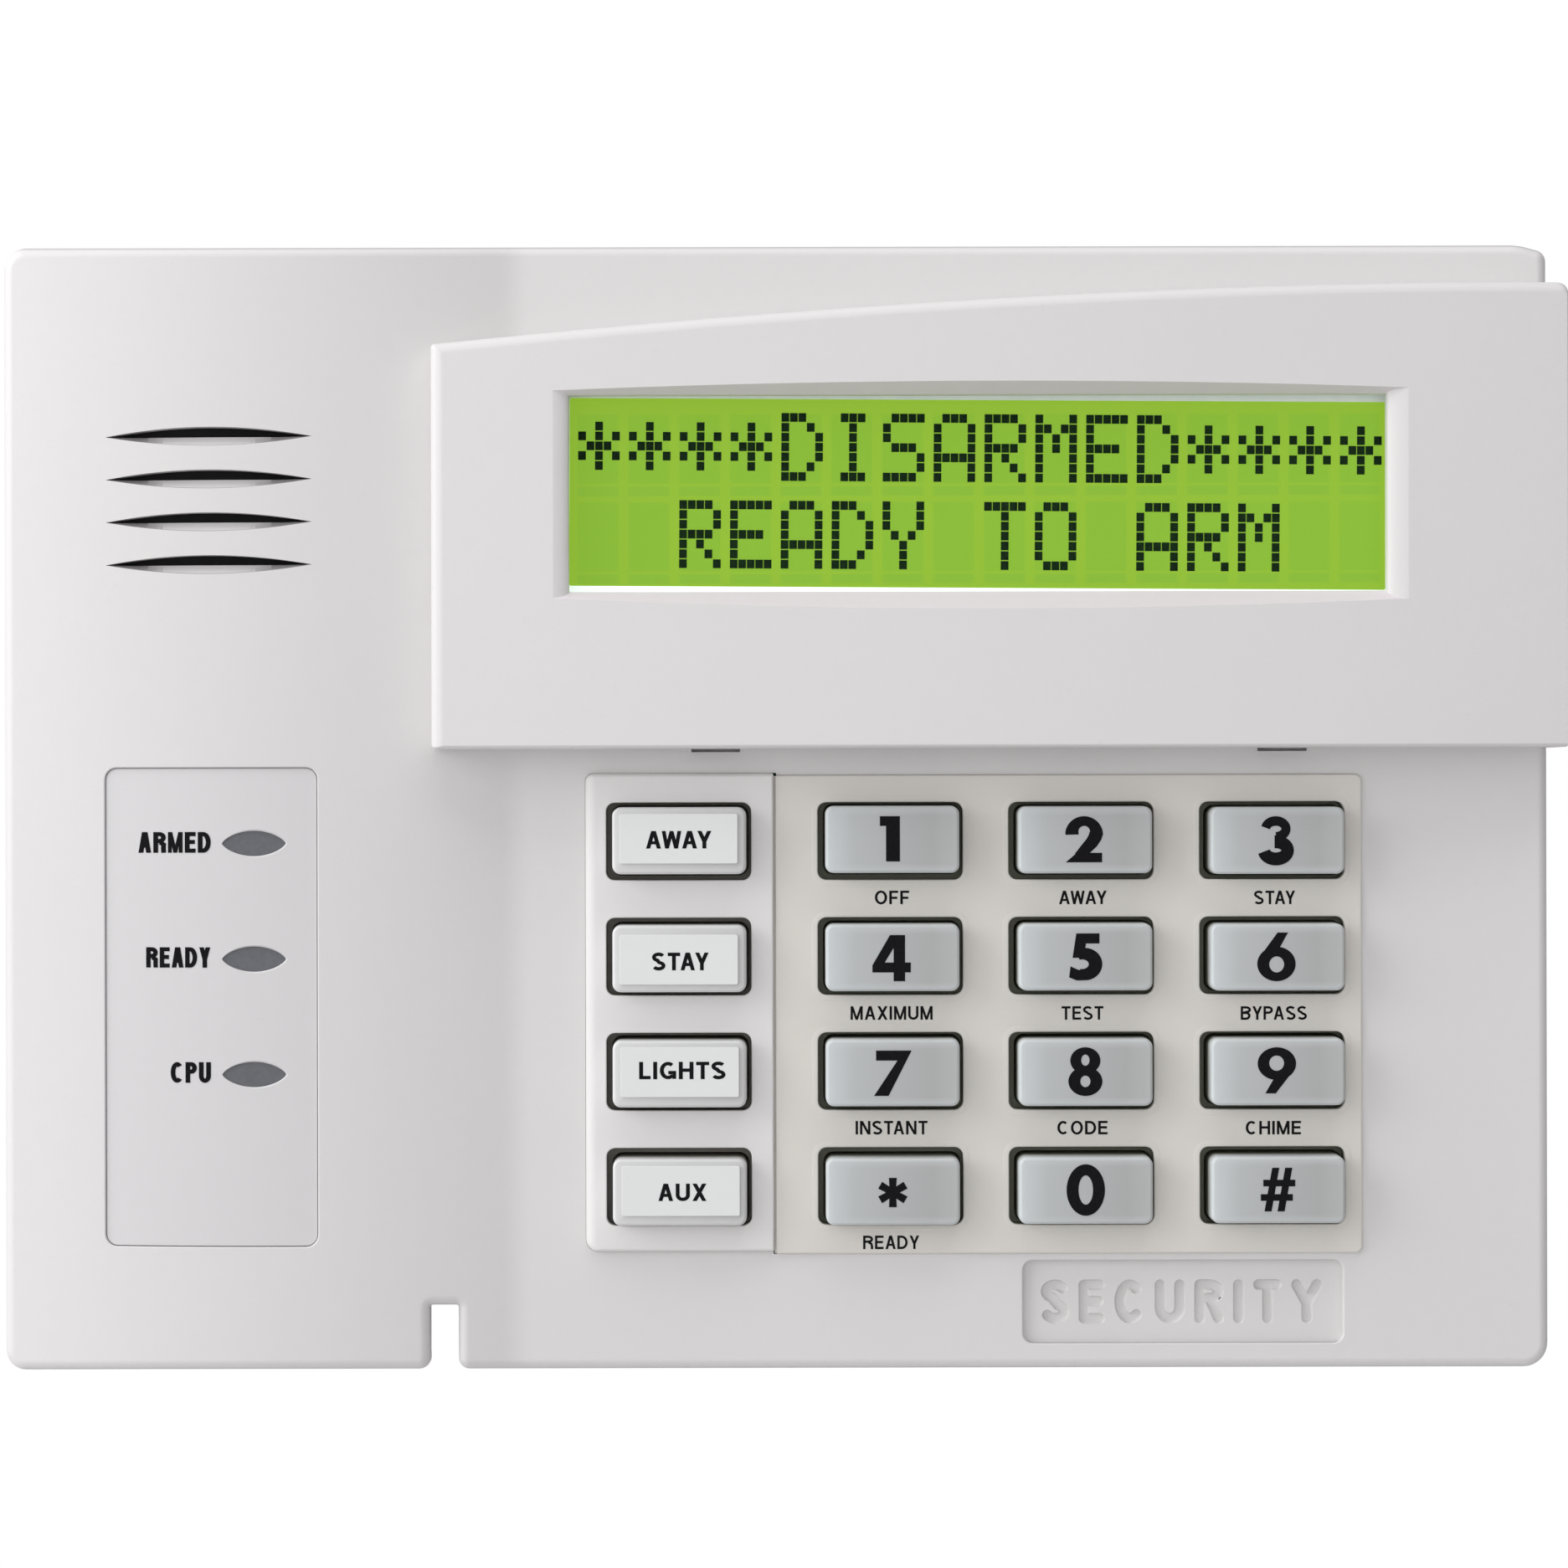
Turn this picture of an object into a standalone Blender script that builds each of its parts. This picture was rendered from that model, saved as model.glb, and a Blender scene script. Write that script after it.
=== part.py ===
"""Wall-mounted alphanumeric alarm keypad panel, built as separate pieces.

Frame: the origin is the centre of the back plate's wall face, +Z is up, +X is
to the right of somebody facing the panel, and the front faces -Y.  Depths are
given as d, the distance in front of the wall, so y = -d.  Lengths below are in
millimetres and become metres in one place, through MM.
"""
import math

import bmesh
import bpy
from mathutils import Matrix, Vector

MM = 0.001

# ---------------------------------------------------------------- driving sizes
CASE_HALF_W = 92.3          # half width of the front case
CASE_HALF_H = 67.1          # half height of the front case
WALL = 2.2                  # moulded wall thickness
CASE_BACK_D = 2.5           # rear rim of the front case
FACE_D = 24.0               # flat front face around the keys
EDGE_R = 1.3                # rounding of the front edge

POD_CENTRE_X = -60.3        # crest line of the crowned speaker pod
POD_TOP_D = 27.7
POD_CURVE = 248.0           # d falls by (x - crest)^2 / POD_CURVE
POD_EDGE_X = -32.2          # end of the crown, start of the small fillet
POD_FOOT_X = -27.8          # foot of the fillet, start of the flat face

HOOD_LEFT, HOOD_RIGHT = -40.6, 93.5
HOOD_BOTTOM = 7.0
HOOD_ROOT_D = 16.0
HOOD_TOP_D = 32.8           # crest of the display hood
HOOD_CREST_X = 26.4
HOOD_RADIUS = 867.0         # the hood's face is an arc of this radius
HOOD_EDGE_R = 0.9

NOTCH = (-41.2, -37.9, -59.45)      # hinge notch: left, right, top
WINDOW = (-24.28, 72.2, 25.47, 48.68)
WINDOW_D = 30.2

OPENING = (-23.0, 70.3, -53.6, 4.4)         # hole in the case for the keys
STRIP = (-22.7, -0.25, -53.0, 4.1)          # function key strip
SURROUND = (0.05, 70.0, -53.3, 3.85)        # digit key surround
STRIP_D, SURROUND_D, INSERT_BACK_D = 25.0, 24.5, 20.3

KEY_X = (13.69, 36.46, 59.24)
FUNCTION_X = -11.54
KEY_Z = (-3.92, -17.65, -31.38, -45.10)
KEY_HOLE = (17.3, 9.25, 1.0)        # width, height, corner radius
KEY_CAP = (16.0, 8.0, 0.7)
FUNCTION_CAP = (16.0, 8.0, 1.0)
KEY_TOP_D, KEY_FLANGE_D, KEY_FOOT_D = 27.7, (17.6, 19.2), 15.2
KEY_TRAVEL = 1.2
LABEL = (13.9, 5.9)

STATUS_LABEL = (-79.74, -54.32, -51.97, 4.87)
LED_X = -61.88
LED_Z = (-4.13, -17.85, -31.55)
LED_OVAL = (7.6, 3.0)

BADGE = (29.5, 67.7, -64.05, -54.2)
LATCH_SLITS = ((-10.0, -4.2), (57.6, 63.5))

SPEAKER_X, SPEAKER_Z = -67.24, 36.6
LOUVRE_Z = (44.2, 39.13, 34.05, 28.97)
LOUVRE_HALF_W, LOUVRE_HALF_H = 12.3, 1.1

BOARD = (-87.0, 87.0, -55.5, 59.0)
BOARD_D = (12.0, 13.6)
BOSSES = ((-84.0, -50.0), (84.0, -50.0), (-84.0, 55.0), (84.0, 54.5))
LCD_BOARD = (-34.0, 82.0, 14.5, 52.0)
LCD_BOARD_D = (19.8, 21.4)
LCD_POSTS = ((-31.0, 17.5), (79.0, 17.5), (-31.0, 49.0), (79.0, 49.0))

SNAP_Z = (25.0, -25.0)
SCREW_SLOTS = [(x, z) for z in (41.65, -41.65) for x in (-23.0, 0.0, 23.0)]
WIRE_ENTRY = (-38.0, -4.0, 10.0, 34.0)

POD_XS = [-92.3, -84.3, -76.3, -68.3, -60.3, -52.3, -44.3, -36.3, -32.2, -30.0,
          -27.8, 92.3]
HOOD_XS = [-40.6, -29.0, -18.0, -7.0, 4.0, 15.0, 26.4, 38.0, 49.0, 60.0, 71.0,
           82.0, 93.5]


# ---------------------------------------------------------------- surfaces
def pod_surface(x):
    """Depth of the body's front face at x."""
    if x >= POD_FOOT_X:
        return FACE_D
    if x >= POD_EDGE_X:
        rise = POD_TOP_D - (POD_EDGE_X - POD_CENTRE_X) ** 2 / POD_CURVE - FACE_D
        return FACE_D + rise * ((POD_FOOT_X - x) / (POD_FOOT_X - POD_EDGE_X)) ** 2
    return POD_TOP_D - (x - POD_CENTRE_X) ** 2 / POD_CURVE


def hood_surface(x):
    """Depth of the hood's crowned face at x."""
    return HOOD_TOP_D - (x - HOOD_CREST_X) ** 2 / (2 * HOOD_RADIUS)


def hood_top(x):
    """Height of the hood's swept upper edge at x."""
    run = max(0.0, 91.27 - x) / 130.36
    return 61.91 - 6.913 * run ** 1.737


def faceted(surface, xs, shift=0.0):
    """The surface as straight facets between the stations xs."""
    def depth(x):
        x = min(max(x, xs[0]), xs[-1])
        for a, b in zip(xs, xs[1:]):
            if x <= b:
                t = (x - a) / (b - a)
                return surface(a) + (surface(b) - surface(a)) * t + shift
        return surface(xs[-1]) + shift
    return depth


# ---------------------------------------------------------------- scene helpers
def clear_scene():
    for ob in list(bpy.data.objects):
        bpy.data.objects.remove(ob, do_unlink=True)


def collection(name):
    coll = bpy.data.collections.get(name) or bpy.data.collections.new(name)
    if coll.name not in bpy.context.scene.collection.children:
        bpy.context.scene.collection.children.link(coll)
    return coll


clear_scene()
PARTS = collection("alarm_keypad_panel")
CUTTERS = collection("cutters")


def material(name, colour, roughness, metallic=0.0):
    mat = bpy.data.materials.get(name)
    if mat is None:
        mat = bpy.data.materials.new(name)
        mat.use_nodes = True
        shader = mat.node_tree.nodes["Principled BSDF"]
        shader.inputs["Base Color"].default_value = (*colour, 1.0)
        shader.inputs["Roughness"].default_value = roughness
        shader.inputs["Metallic"].default_value = metallic
        mat.diffuse_color = (*colour, 1.0)
    return mat


def add_object(name, mesh, mat=None, cutter=False):
    ob = bpy.data.objects.new(name, mesh)
    if cutter:
        CUTTERS.objects.link(ob)
        ob.hide_render = True
        ob.display_type = 'WIRE'
    else:
        PARTS.objects.link(ob)
        mesh.materials.append(mat)
    return ob


def boolean(target, tool, operation='DIFFERENCE'):
    mod = target.modifiers.new(operation.title() + "_" + tool.name, 'BOOLEAN')
    mod.operation = operation
    mod.solver = 'EXACT'
    mod.object = tool


def set_origin(ob, x, d, z):
    """Move the object's origin without moving its shape."""
    point = Vector((x * MM, -d * MM, z * MM))
    ob.data.transform(Matrix.Translation(-point))
    ob.location = point


# ---------------------------------------------------------------- shape helpers
def rounded(corners, segments=3):
    """Outline through corners (x, z, radius), each one rounded by an arc."""
    points = []
    count = len(corners)
    for i, (x, z, radius) in enumerate(corners):
        corner = Vector((x, z))
        if radius <= 0:
            points.append((x, z))
            continue
        before = (Vector(corners[i - 1][:2]) - corner).normalized()
        after = (Vector(corners[(i + 1) % count][:2]) - corner).normalized()
        half = before.angle(after) / 2
        centre = corner + (before + after).normalized() * (radius / math.sin(half))
        start = corner + before * (radius / math.tan(half)) - centre
        end = corner + after * (radius / math.tan(half)) - centre
        sweep = start.angle_signed(end)
        for k in range(segments + 1):
            turn = -sweep * k / segments
            c, s = math.cos(turn), math.sin(turn)
            points.append((centre.x + start.x * c - start.y * s,
                           centre.y + start.x * s + start.y * c))
    return points


def rectangle(x0, x1, z0, z1, radius=0.0, segments=3):
    return rounded([(x0, z0, radius), (x1, z0, radius), (x1, z1, radius),
                    (x0, z1, radius)], segments)


def centred(x, z, width, height, radius=0.0, segments=3):
    return rectangle(x - width / 2, x + width / 2, z - height / 2,
                     z + height / 2, radius, segments)


def circle(x, z, radius, segments=20):
    return [(x + radius * math.cos(2 * math.pi * k / segments),
             z + radius * math.sin(2 * math.pi * k / segments))
            for k in range(segments)]


def lens(x, z, half_w, half_h, low, high, segments=8):
    """Points of a pointed oval's upper (+1) or lower (-1) arcs, joined."""
    def arc(sign, start, stop):
        return [(x + start + (stop - start) * k / segments,
                 z + sign * half_h * (1 - ((start + (stop - start) * k / segments)
                                           / half_w) ** 2))
                for k in range(segments + 1)]
    points = []
    if low:
        points += arc(-1, -half_w, half_w)[:-1]
    else:
        points += [(x - half_w, z)]
    if high:
        points += arc(1, half_w, -half_w)[:-1]
    else:
        points += [(x + half_w, z)]
    return points


def plate(name, outlines, d0, d1, mat=None, cutter=False, stations=(),
          front=None, back=None, bevel=0.0, bevel_segments=2, bevel_where=None):
    """A flat outline, with any holes, given a thickness from d0 to d1.

    With stations, the plate is sliced at those x and its front or back face
    then follows the depth function given.  bevel rounds the front edge.
    """
    curve = bpy.data.curves.new(name + "_outline", 'CURVE')
    curve.dimensions = '2D'
    curve.fill_mode = 'BOTH'
    curve.extrude = (d1 - d0) / 2 * MM
    for points in outlines:
        spline = curve.splines.new('POLY')
        spline.points.add(len(points) - 1)
        for point, (x, z) in zip(spline.points, points):
            point.co = (x * MM, z * MM, 0.0, 1.0)
        spline.use_cyclic_u = True
    ob = bpy.data.objects.new(name + "_outline", curve)
    ob.rotation_euler = (math.pi / 2, 0.0, 0.0)
    ob.location = (0.0, -(d0 + d1) / 2 * MM, 0.0)
    bpy.context.scene.collection.objects.link(ob)
    bpy.context.view_layer.update()
    depsgraph = bpy.context.evaluated_depsgraph_get()
    mesh = bpy.data.meshes.new_from_object(ob.evaluated_get(depsgraph),
                                           depsgraph=depsgraph)
    mesh.name = name
    mesh.transform(ob.matrix_world)
    bpy.data.objects.remove(ob, do_unlink=True)
    bpy.data.curves.remove(curve)

    bm = bmesh.new()
    bm.from_mesh(mesh)
    bmesh.ops.remove_doubles(bm, verts=bm.verts, dist=1e-6)
    if len(outlines) == 1:
        bmesh.ops.dissolve_limit(bm, angle_limit=0.002, verts=bm.verts,
                                 edges=bm.edges)
    for x in stations:
        bmesh.ops.bisect_plane(bm, geom=bm.verts[:] + bm.edges[:] + bm.faces[:],
                               plane_co=(x * MM, 0, 0), plane_no=(1, 0, 0),
                               dist=1e-7)
    bmesh.ops.recalc_face_normals(bm, faces=bm.faces)
    middle = -(d0 + d1) / 2 * MM
    for vert in bm.verts:
        x = vert.co.x / MM
        if vert.co.y < middle:
            if front:
                vert.co.y = -front(x) * MM
        elif back:
            vert.co.y = -back(x) * MM
    if bevel > 0:
        bm.normal_update()
        edges = []
        for edge in bm.edges:
            if len(edge.link_faces) != 2:
                continue
            if any(v.co.y > middle for v in edge.verts):
                continue
            normals = [f.normal.y for f in edge.link_faces]
            if min(normals) < -0.7 and max(normals) > -0.3:
                if bevel_where is None or bevel_where(edge):
                    edges.append(edge)
        bmesh.ops.bevel(bm, geom=edges, offset=bevel * MM, offset_type='OFFSET',
                        segments=bevel_segments, profile=0.5, affect='EDGES',
                        clamp_overlap=True)
    bmesh.ops.recalc_face_normals(bm, faces=bm.faces)
    bm.to_mesh(mesh)
    bm.free()
    return add_object(name, mesh, mat, cutter)


def box(name, x0, x1, d0, d1, z0, z1, mat=None, cutter=False):
    return loft_box(name, [(d0, x0, x1, z0, z1), (d1, x0, x1, z0, z1)], mat,
                    cutter)


def loft_box(name, levels, mat=None, cutter=False):
    """A box whose cross-section changes from level to level.

    Each level is (d, x0, x1, z0, z1), ordered from the wall outwards.
    """
    bm = bmesh.new()
    bmesh.ops.create_cube(bm, size=1.0)
    front = [f for f in bm.faces if f.normal.y < -0.5][0]

    def fit(verts, level):
        d, x0, x1, z0, z1 = level
        for v in verts:
            v.co = Vector(((x0 if v.co.x < mid.x else x1) * MM, -d * MM,
                           (z0 if v.co.z < mid.z else z1) * MM))

    mid = Vector((0, 0, 0))
    back_verts = [v for v in bm.verts if v.co.y > 0]
    front_verts = list(front.verts)
    fit(back_verts, levels[0])
    fit(front_verts, levels[1])
    for level in levels[2:]:
        result = bmesh.ops.extrude_face_region(bm, geom=[front])
        bmesh.ops.delete(bm, geom=[front], context='FACES_ONLY')
        front = [g for g in result["geom"]
                 if isinstance(g, bmesh.types.BMFace)][0]
        mid = sum((v.co for v in front.verts), Vector()) / 4
        fit(list(front.verts), level)
    bmesh.ops.recalc_face_normals(bm, faces=bm.faces)
    mesh = bpy.data.meshes.new(name)
    bm.to_mesh(mesh)
    bm.free()
    return add_object(name, mesh, mat, cutter)


def cylinder(name, x, z, radius, d0, d1, mat=None, cutter=False, segments=16):
    bm = bmesh.new()
    bmesh.ops.create_cone(bm, cap_ends=True, segments=segments,
                          radius1=radius * MM, radius2=radius * MM,
                          depth=(d1 - d0) * MM)
    mesh = bpy.data.meshes.new(name)
    bm.to_mesh(mesh)
    bm.free()
    mesh.transform(Matrix.Translation((x * MM, -(d0 + d1) / 2 * MM, z * MM))
                   @ Matrix.Rotation(math.pi / 2, 4, 'X'))
    if not cutter:
        mesh.shade_smooth()
        mesh.set_sharp_from_angle(angle=math.radians(30))
    return add_object(name, mesh, mat, cutter)


def turned(name, profile, x, z, mat, steps=20):
    """A turned piece about the depth axis through (x, z).

    The profile is (radius, d) from the front end down its outer side.
    """
    bm = bmesh.new()
    verts = [bm.verts.new((r * MM, 0.0, d * MM)) for r, d in profile]
    for a, b in zip(verts, verts[1:]):
        bm.edges.new((a, b))
    mesh = bpy.data.meshes.new(name)
    bm.to_mesh(mesh)
    bm.free()
    ob = add_object(name, mesh, mat)
    ob.location = (x * MM, 0.0, z * MM)
    ob.rotation_euler = (math.pi / 2, 0.0, 0.0)
    screw = ob.modifiers.new("Turn", 'SCREW')
    screw.axis = 'Z'
    screw.steps = steps
    screw.render_steps = steps
    screw.use_merge_vertices = True
    screw.merge_threshold = 0.00001
    screw.use_smooth_shade = True
    return ob


# ---------------------------------------------------------------- materials
ABS_WHITE = material("abs_white", (0.66, 0.655, 0.66), 0.45)
ABS_IVORY = material("abs_ivory", (0.62, 0.60, 0.56), 0.5)
ABS_BACK = material("abs_back", (0.60, 0.595, 0.60), 0.55)
SILICONE_GREY = material("silicone_grey", (0.48, 0.53, 0.56), 0.55)
CLEAR_RUBBER = material("clear_rubber", (0.66, 0.68, 0.68), 0.35)
STICKER = material("sticker", (0.74, 0.77, 0.77), 0.4)
STATUS_FILM = material("status_film", (0.68, 0.68, 0.69), 0.45)
SMOKED_LENS = material("smoked_lens", (0.18, 0.19, 0.20), 0.3)
MAT_RUBBER = material("mat_rubber", (0.35, 0.37, 0.38), 0.7)
BOARD_GREEN = material("board_green", (0.03, 0.16, 0.07), 0.45)
LCD_METAL = material("lcd_metal", (0.35, 0.35, 0.36), 0.35, 1.0)
LCD_GREEN = material("lcd_green", (0.26, 0.56, 0.06), 0.25)
LIGHT_PANEL = material("light_panel", (0.70, 0.85, 0.40), 0.5)
CLEAR_LENS = material("clear_lens", (0.85, 0.90, 0.85), 0.08)
BLACK_PLASTIC = material("black_plastic", (0.02, 0.02, 0.02), 0.5)
LED_DIFFUSE = material("led_diffuse", (0.55, 0.60, 0.55), 0.3)
STEEL = material("steel", (0.55, 0.55, 0.56), 0.3, 1.0)
FERRITE = material("ferrite", (0.08, 0.08, 0.09), 0.6)
PAPER_CONE = material("paper_cone", (0.05, 0.05, 0.05), 0.8)
FELT = material("felt", (0.02, 0.02, 0.02), 0.95)
TERMINAL_GREEN = material("terminal_green", (0.05, 0.30, 0.12), 0.5)
ZINC = material("zinc", (0.62, 0.60, 0.55), 0.35, 1.0)


# ---------------------------------------------------------------- front case
def make_front_case():
    body_face = faceted(pod_surface, POD_XS)
    inner_face = faceted(pod_surface, POD_XS, -WALL)
    crown = faceted(hood_surface, HOOD_XS)
    inner_crown = faceted(hood_surface, HOOD_XS, -WALL)
    left, right, top = NOTCH

    body = plate("front_case", [rounded([
        (-CASE_HALF_W, -CASE_HALF_H, 2.2), (left, -CASE_HALF_H, 1.2),
        (left, top, 0.0), (right, top, 0.0), (right, -CASE_HALF_H, 1.2),
        (CASE_HALF_W, -CASE_HALF_H, 2.0), (CASE_HALF_W, CASE_HALF_H, 2.2),
        (-CASE_HALF_W, CASE_HALF_H, 1.8)])], CASE_BACK_D, FACE_D, ABS_WHITE,
        stations=POD_XS[1:-1], front=body_face, bevel=EDGE_R - 0.1)

    def hood_outline(inset, steps=9):
        points = [(HOOD_LEFT + inset, HOOD_BOTTOM + inset),
                  (HOOD_RIGHT - inset, HOOD_BOTTOM + inset)]
        x_right, x_left = HOOD_RIGHT - inset, HOOD_LEFT + inset
        points.append((x_right, hood_top(x_right) - inset - 1.0))
        points.append((x_right - 0.4, hood_top(x_right) - inset - 0.3))
        points.append((x_right - 1.2, hood_top(x_right) - inset))
        for k in range(1, steps + 1):
            x = x_right - 1.2 + (x_left - x_right + 1.2) * k / steps
            points.append((x, hood_top(x) - inset))
        return points

    hood = plate("hood_outer", [hood_outline(0.0)], HOOD_ROOT_D, 30.0,
                 cutter=True, stations=HOOD_XS[1:-1], front=crown,
                 bevel=HOOD_EDGE_R)
    boolean(body, hood, 'UNION')

    # hollow the body and the hood
    n = WALL
    body_inner = plate("body_inner", [rounded([
        (-CASE_HALF_W + n, -CASE_HALF_H + n, 0.6),
        (left - n, -CASE_HALF_H + n, 0), (left - n, top + n, 0),
        (right + n, top + n, 0), (right + n, -CASE_HALF_H + n, 0),
        (CASE_HALF_W - n, -CASE_HALF_H + n, 0.6),
        (CASE_HALF_W - n, CASE_HALF_H - n, 0.6),
        (-CASE_HALF_W + n, CASE_HALF_H - n, 0.6)], 1)], -3.0, 20.0,
        cutter=True, stations=POD_XS[1:-1], front=inner_face)
    boolean(body, body_inner)
    hood_inner = plate("hood_inner", [hood_outline(WALL + 0.4)], 18.0, 26.0,
                       cutter=True, stations=HOOD_XS[1:-1], front=inner_crown)
    boolean(body, hood_inner)

    # collar that carries the window rim inside the crowned face
    x0, x1, z0, z1 = WINDOW
    boolean(body, box("window_collar", x0 - 4, x1 + 4, 28.9, 30.9, z0 - 4,
                      z1 + 4, cutter=True), 'UNION')

    # posts: four screw bosses, four light posts for the display board
    for i, (x, z) in enumerate(BOSSES):
        tip = (hood_surface(x) if z > HOOD_BOTTOM and x > HOOD_LEFT
               else pod_surface(x)) - 1.1
        boolean(body, cylinder(f"boss_{i + 1}", x, z, 3.0, BOARD_D[1] + 0.3, tip,
                               cutter=True), 'UNION')
    for i, (x, z) in enumerate(LCD_POSTS):
        boolean(body, cylinder(f"lcd_post_{i + 1}", x, z, 1.25,
                               LCD_BOARD_D[0] - 1.0, hood_surface(x) - 1.1,
                               cutter=True, segments=10), 'UNION')
    ring = plate("speaker_rib", [circle(SPEAKER_X, SPEAKER_Z, 19.2, 28),
                                 circle(SPEAKER_X, SPEAKER_Z, 17.5, 28)],
                 20.0, 23.0, cutter=True, stations=POD_XS[1:-1],
                 front=faceted(pod_surface, POD_XS, -1.1))
    boolean(body, ring, 'UNION')
    for i, (x, z) in enumerate(BOSSES):
        boolean(body, cylinder(f"boss_hole_{i + 1}", x, z, 1.3, 10.0, 21.0,
                               cutter=True, segments=12))

    # display window: straight throat, then flared planes out to the crown
    boolean(body, loft_box("window_cut", [
        (26.0, x0, x1, z0, z1), (WINDOW_D, x0, x1, z0, z1),
        (WINDOW_D + 1.3, x0 - 1.6, x1 + 1.6, z0 - 1.13, z1 + 1.13),
        (35.0, x0 - 4.6, x1 + 4.6, z0 - 4.18, z1 + 4.18)], cutter=True))

    # sound slots: open above each chord, a shallow scoop below it
    boolean(body, plate("louvre_holes", [
        lens(SPEAKER_X, z, LOUVRE_HALF_W, LOUVRE_HALF_H, False, True)
        for z in LOUVRE_Z], 18.0, 32.0, cutter=True))
    scoops = []
    for z in LOUVRE_Z:
        arc = [p for p in lens(SPEAKER_X, z, LOUVRE_HALF_W - 0.5,
                               LOUVRE_HALF_H - 0.05, True, False)]
        scoops.append([(SPEAKER_X - 10.6, z + 0.15)] + arc[1:-1]
                      + [(SPEAKER_X + 10.6, z + 0.15)])
    boolean(body, plate("louvre_scoops", scoops, 20.0, 32.0, cutter=True,
                        stations=POD_XS[1:-1],
                        back=faceted(pod_surface, POD_XS, -0.9)))

    # opening for the key inserts, recesses for the label and the name plate
    boolean(body, plate("key_opening", [rectangle(*OPENING, 0.9)], 15.0, 30.0,
                        cutter=True))
    boolean(body, plate("label_recess", [rectangle(*STATUS_LABEL, 1.4)], 20.0,
                        32.0, cutter=True, stations=POD_XS[1:-1],
                        back=faceted(pod_surface, POD_XS, -0.6)))
    boolean(body, plate("led_holes", [
        lens(LED_X, z, LED_OVAL[0] / 2, LED_OVAL[1] / 2, True, True, 6)
        for z in LED_Z], 17.0, 32.0, cutter=True))
    boolean(body, plate("badge_recess", [rectangle(*BADGE, 1.1)], FACE_D - 0.6,
                        30.0, cutter=True))
    for i, (a, b) in enumerate(LATCH_SLITS):
        boolean(body, box(f"latch_slit_{i + 1}", a, b, 22.9, 26.0,
                          HOOD_BOTTOM - 0.3, HOOD_BOTTOM + 1.3, cutter=True))
    for i, z in enumerate(SNAP_Z):
        for side in (-1, 1):
            a, b = sorted((side * (CASE_HALF_W - n - 0.4),
                           side * (CASE_HALF_W - n + 0.9)))
            boolean(body, box(f"snap_pocket_{i + 1}_{'l' if side < 0 else 'r'}",
                              a, b, 4.6, 7.4, z - 7, z + 7, cutter=True))
    return body


# ---------------------------------------------------------------- back plate
def make_back_plate():
    left, right, top = NOTCH
    g = 0.4
    x0, x1, z0, z1 = WIRE_ENTRY
    holes = [rectangle(x0, x1, z0, z1, 3.0)]
    holes += [centred(x, z, 4.5, 9.0, 2.2, 4) for x, z in SCREW_SLOTS]
    floor = plate("back_plate", [rounded([
        (-CASE_HALF_W + g, -CASE_HALF_H + g, 1.8), (left - g, -CASE_HALF_H + g, 0.8),
        (left - g, top + g, 0), (right + g, top + g, 0),
        (right + g, -CASE_HALF_H + g, 0.8), (CASE_HALF_W - g, -CASE_HALF_H + g, 1.8),
        (CASE_HALF_W - g, CASE_HALF_H - g, 1.8),
        (-CASE_HALF_W + g, CASE_HALF_H - g, 1.6)])] + holes, 0.0, 2.2, ABS_BACK)

    def loop(inset):
        return rounded([
            (-CASE_HALF_W + inset, -CASE_HALF_H + inset, 0.5),
            (left - inset, -CASE_HALF_H + inset, 0),
            (left - inset, top + inset, 0), (right + inset, top + inset, 0),
            (right + inset, -CASE_HALF_H + inset, 0),
            (CASE_HALF_W - inset, -CASE_HALF_H + inset, 0.5),
            (CASE_HALF_W - inset, CASE_HALF_H - inset, 0.5),
            (-CASE_HALF_W + inset, CASE_HALF_H - inset, 0.5)], 1)

    boolean(floor, plate("locating_wall", [loop(WALL + 0.4), loop(WALL + 1.9)],
                         1.2, 8.0, cutter=True), 'UNION')
    for i, z in enumerate(SNAP_Z):
        for side in (-1, 1):
            a, b = sorted((side * (CASE_HALF_W - 3.2), side * (CASE_HALF_W - 1.7)))
            boolean(floor, box(f"snap_{i + 1}_{'l' if side < 0 else 'r'}", a, b,
                               5.1, 6.9, z - 6, z + 6, cutter=True), 'UNION')
    return floor


# ---------------------------------------------------------------- key inserts
def make_surround():
    x0, x1, z0, z1 = SURROUND
    holes = [centred(x, z, *KEY_HOLE) for z in KEY_Z for x in KEY_X]
    ob = plate("keypad_surround", [rectangle(x0, x1, z0, z1, 0.7)],
               INSERT_BACK_D, SURROUND_D, ABS_IVORY)
    rim = plate("surround_rim", [
        rectangle(x0 + 0.6, x1 + 1.5, z0 - 1.5, z1 + 1.5, 1.0),
        rectangle(x0 + 2.4, x1 - 1.0, z0 + 1.8, z1 - 1.5, 0.0)],
        INSERT_BACK_D + 0.2, INSERT_BACK_D + 1.2, cutter=True)
    boolean(ob, rim, 'UNION')
    boolean(ob, plate("surround_holes", holes, 15.0, 30.0, cutter=True))
    return ob


def make_strip():
    x0, x1, z0, z1 = STRIP
    holes = [centred(FUNCTION_X, z, *KEY_HOLE) for z in KEY_Z]
    ob = plate("function_key_strip", [rectangle(x0, x1, z0, z1, 0.6)] + holes,
               INSERT_BACK_D, STRIP_D, CLEAR_RUBBER, bevel=0.5,
               bevel_segments=2, bevel_where=lambda e: all(
                   v.co.x < (x0 + 0.1) * MM for v in e.verts))
    rim = plate("strip_rim", [
        rectangle(x0 - 1.5, x1 - 0.55, z0 - 1.5, z1 + 1.5, 1.0),
        rectangle(x0 + 1.3, x1 - 1.75, z0 + 1.6, z1 - 1.7, 0.0)],
        INSERT_BACK_D + 0.2, INSERT_BACK_D + 1.2, cutter=True)
    boolean(ob, rim, 'UNION')
    return ob


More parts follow.
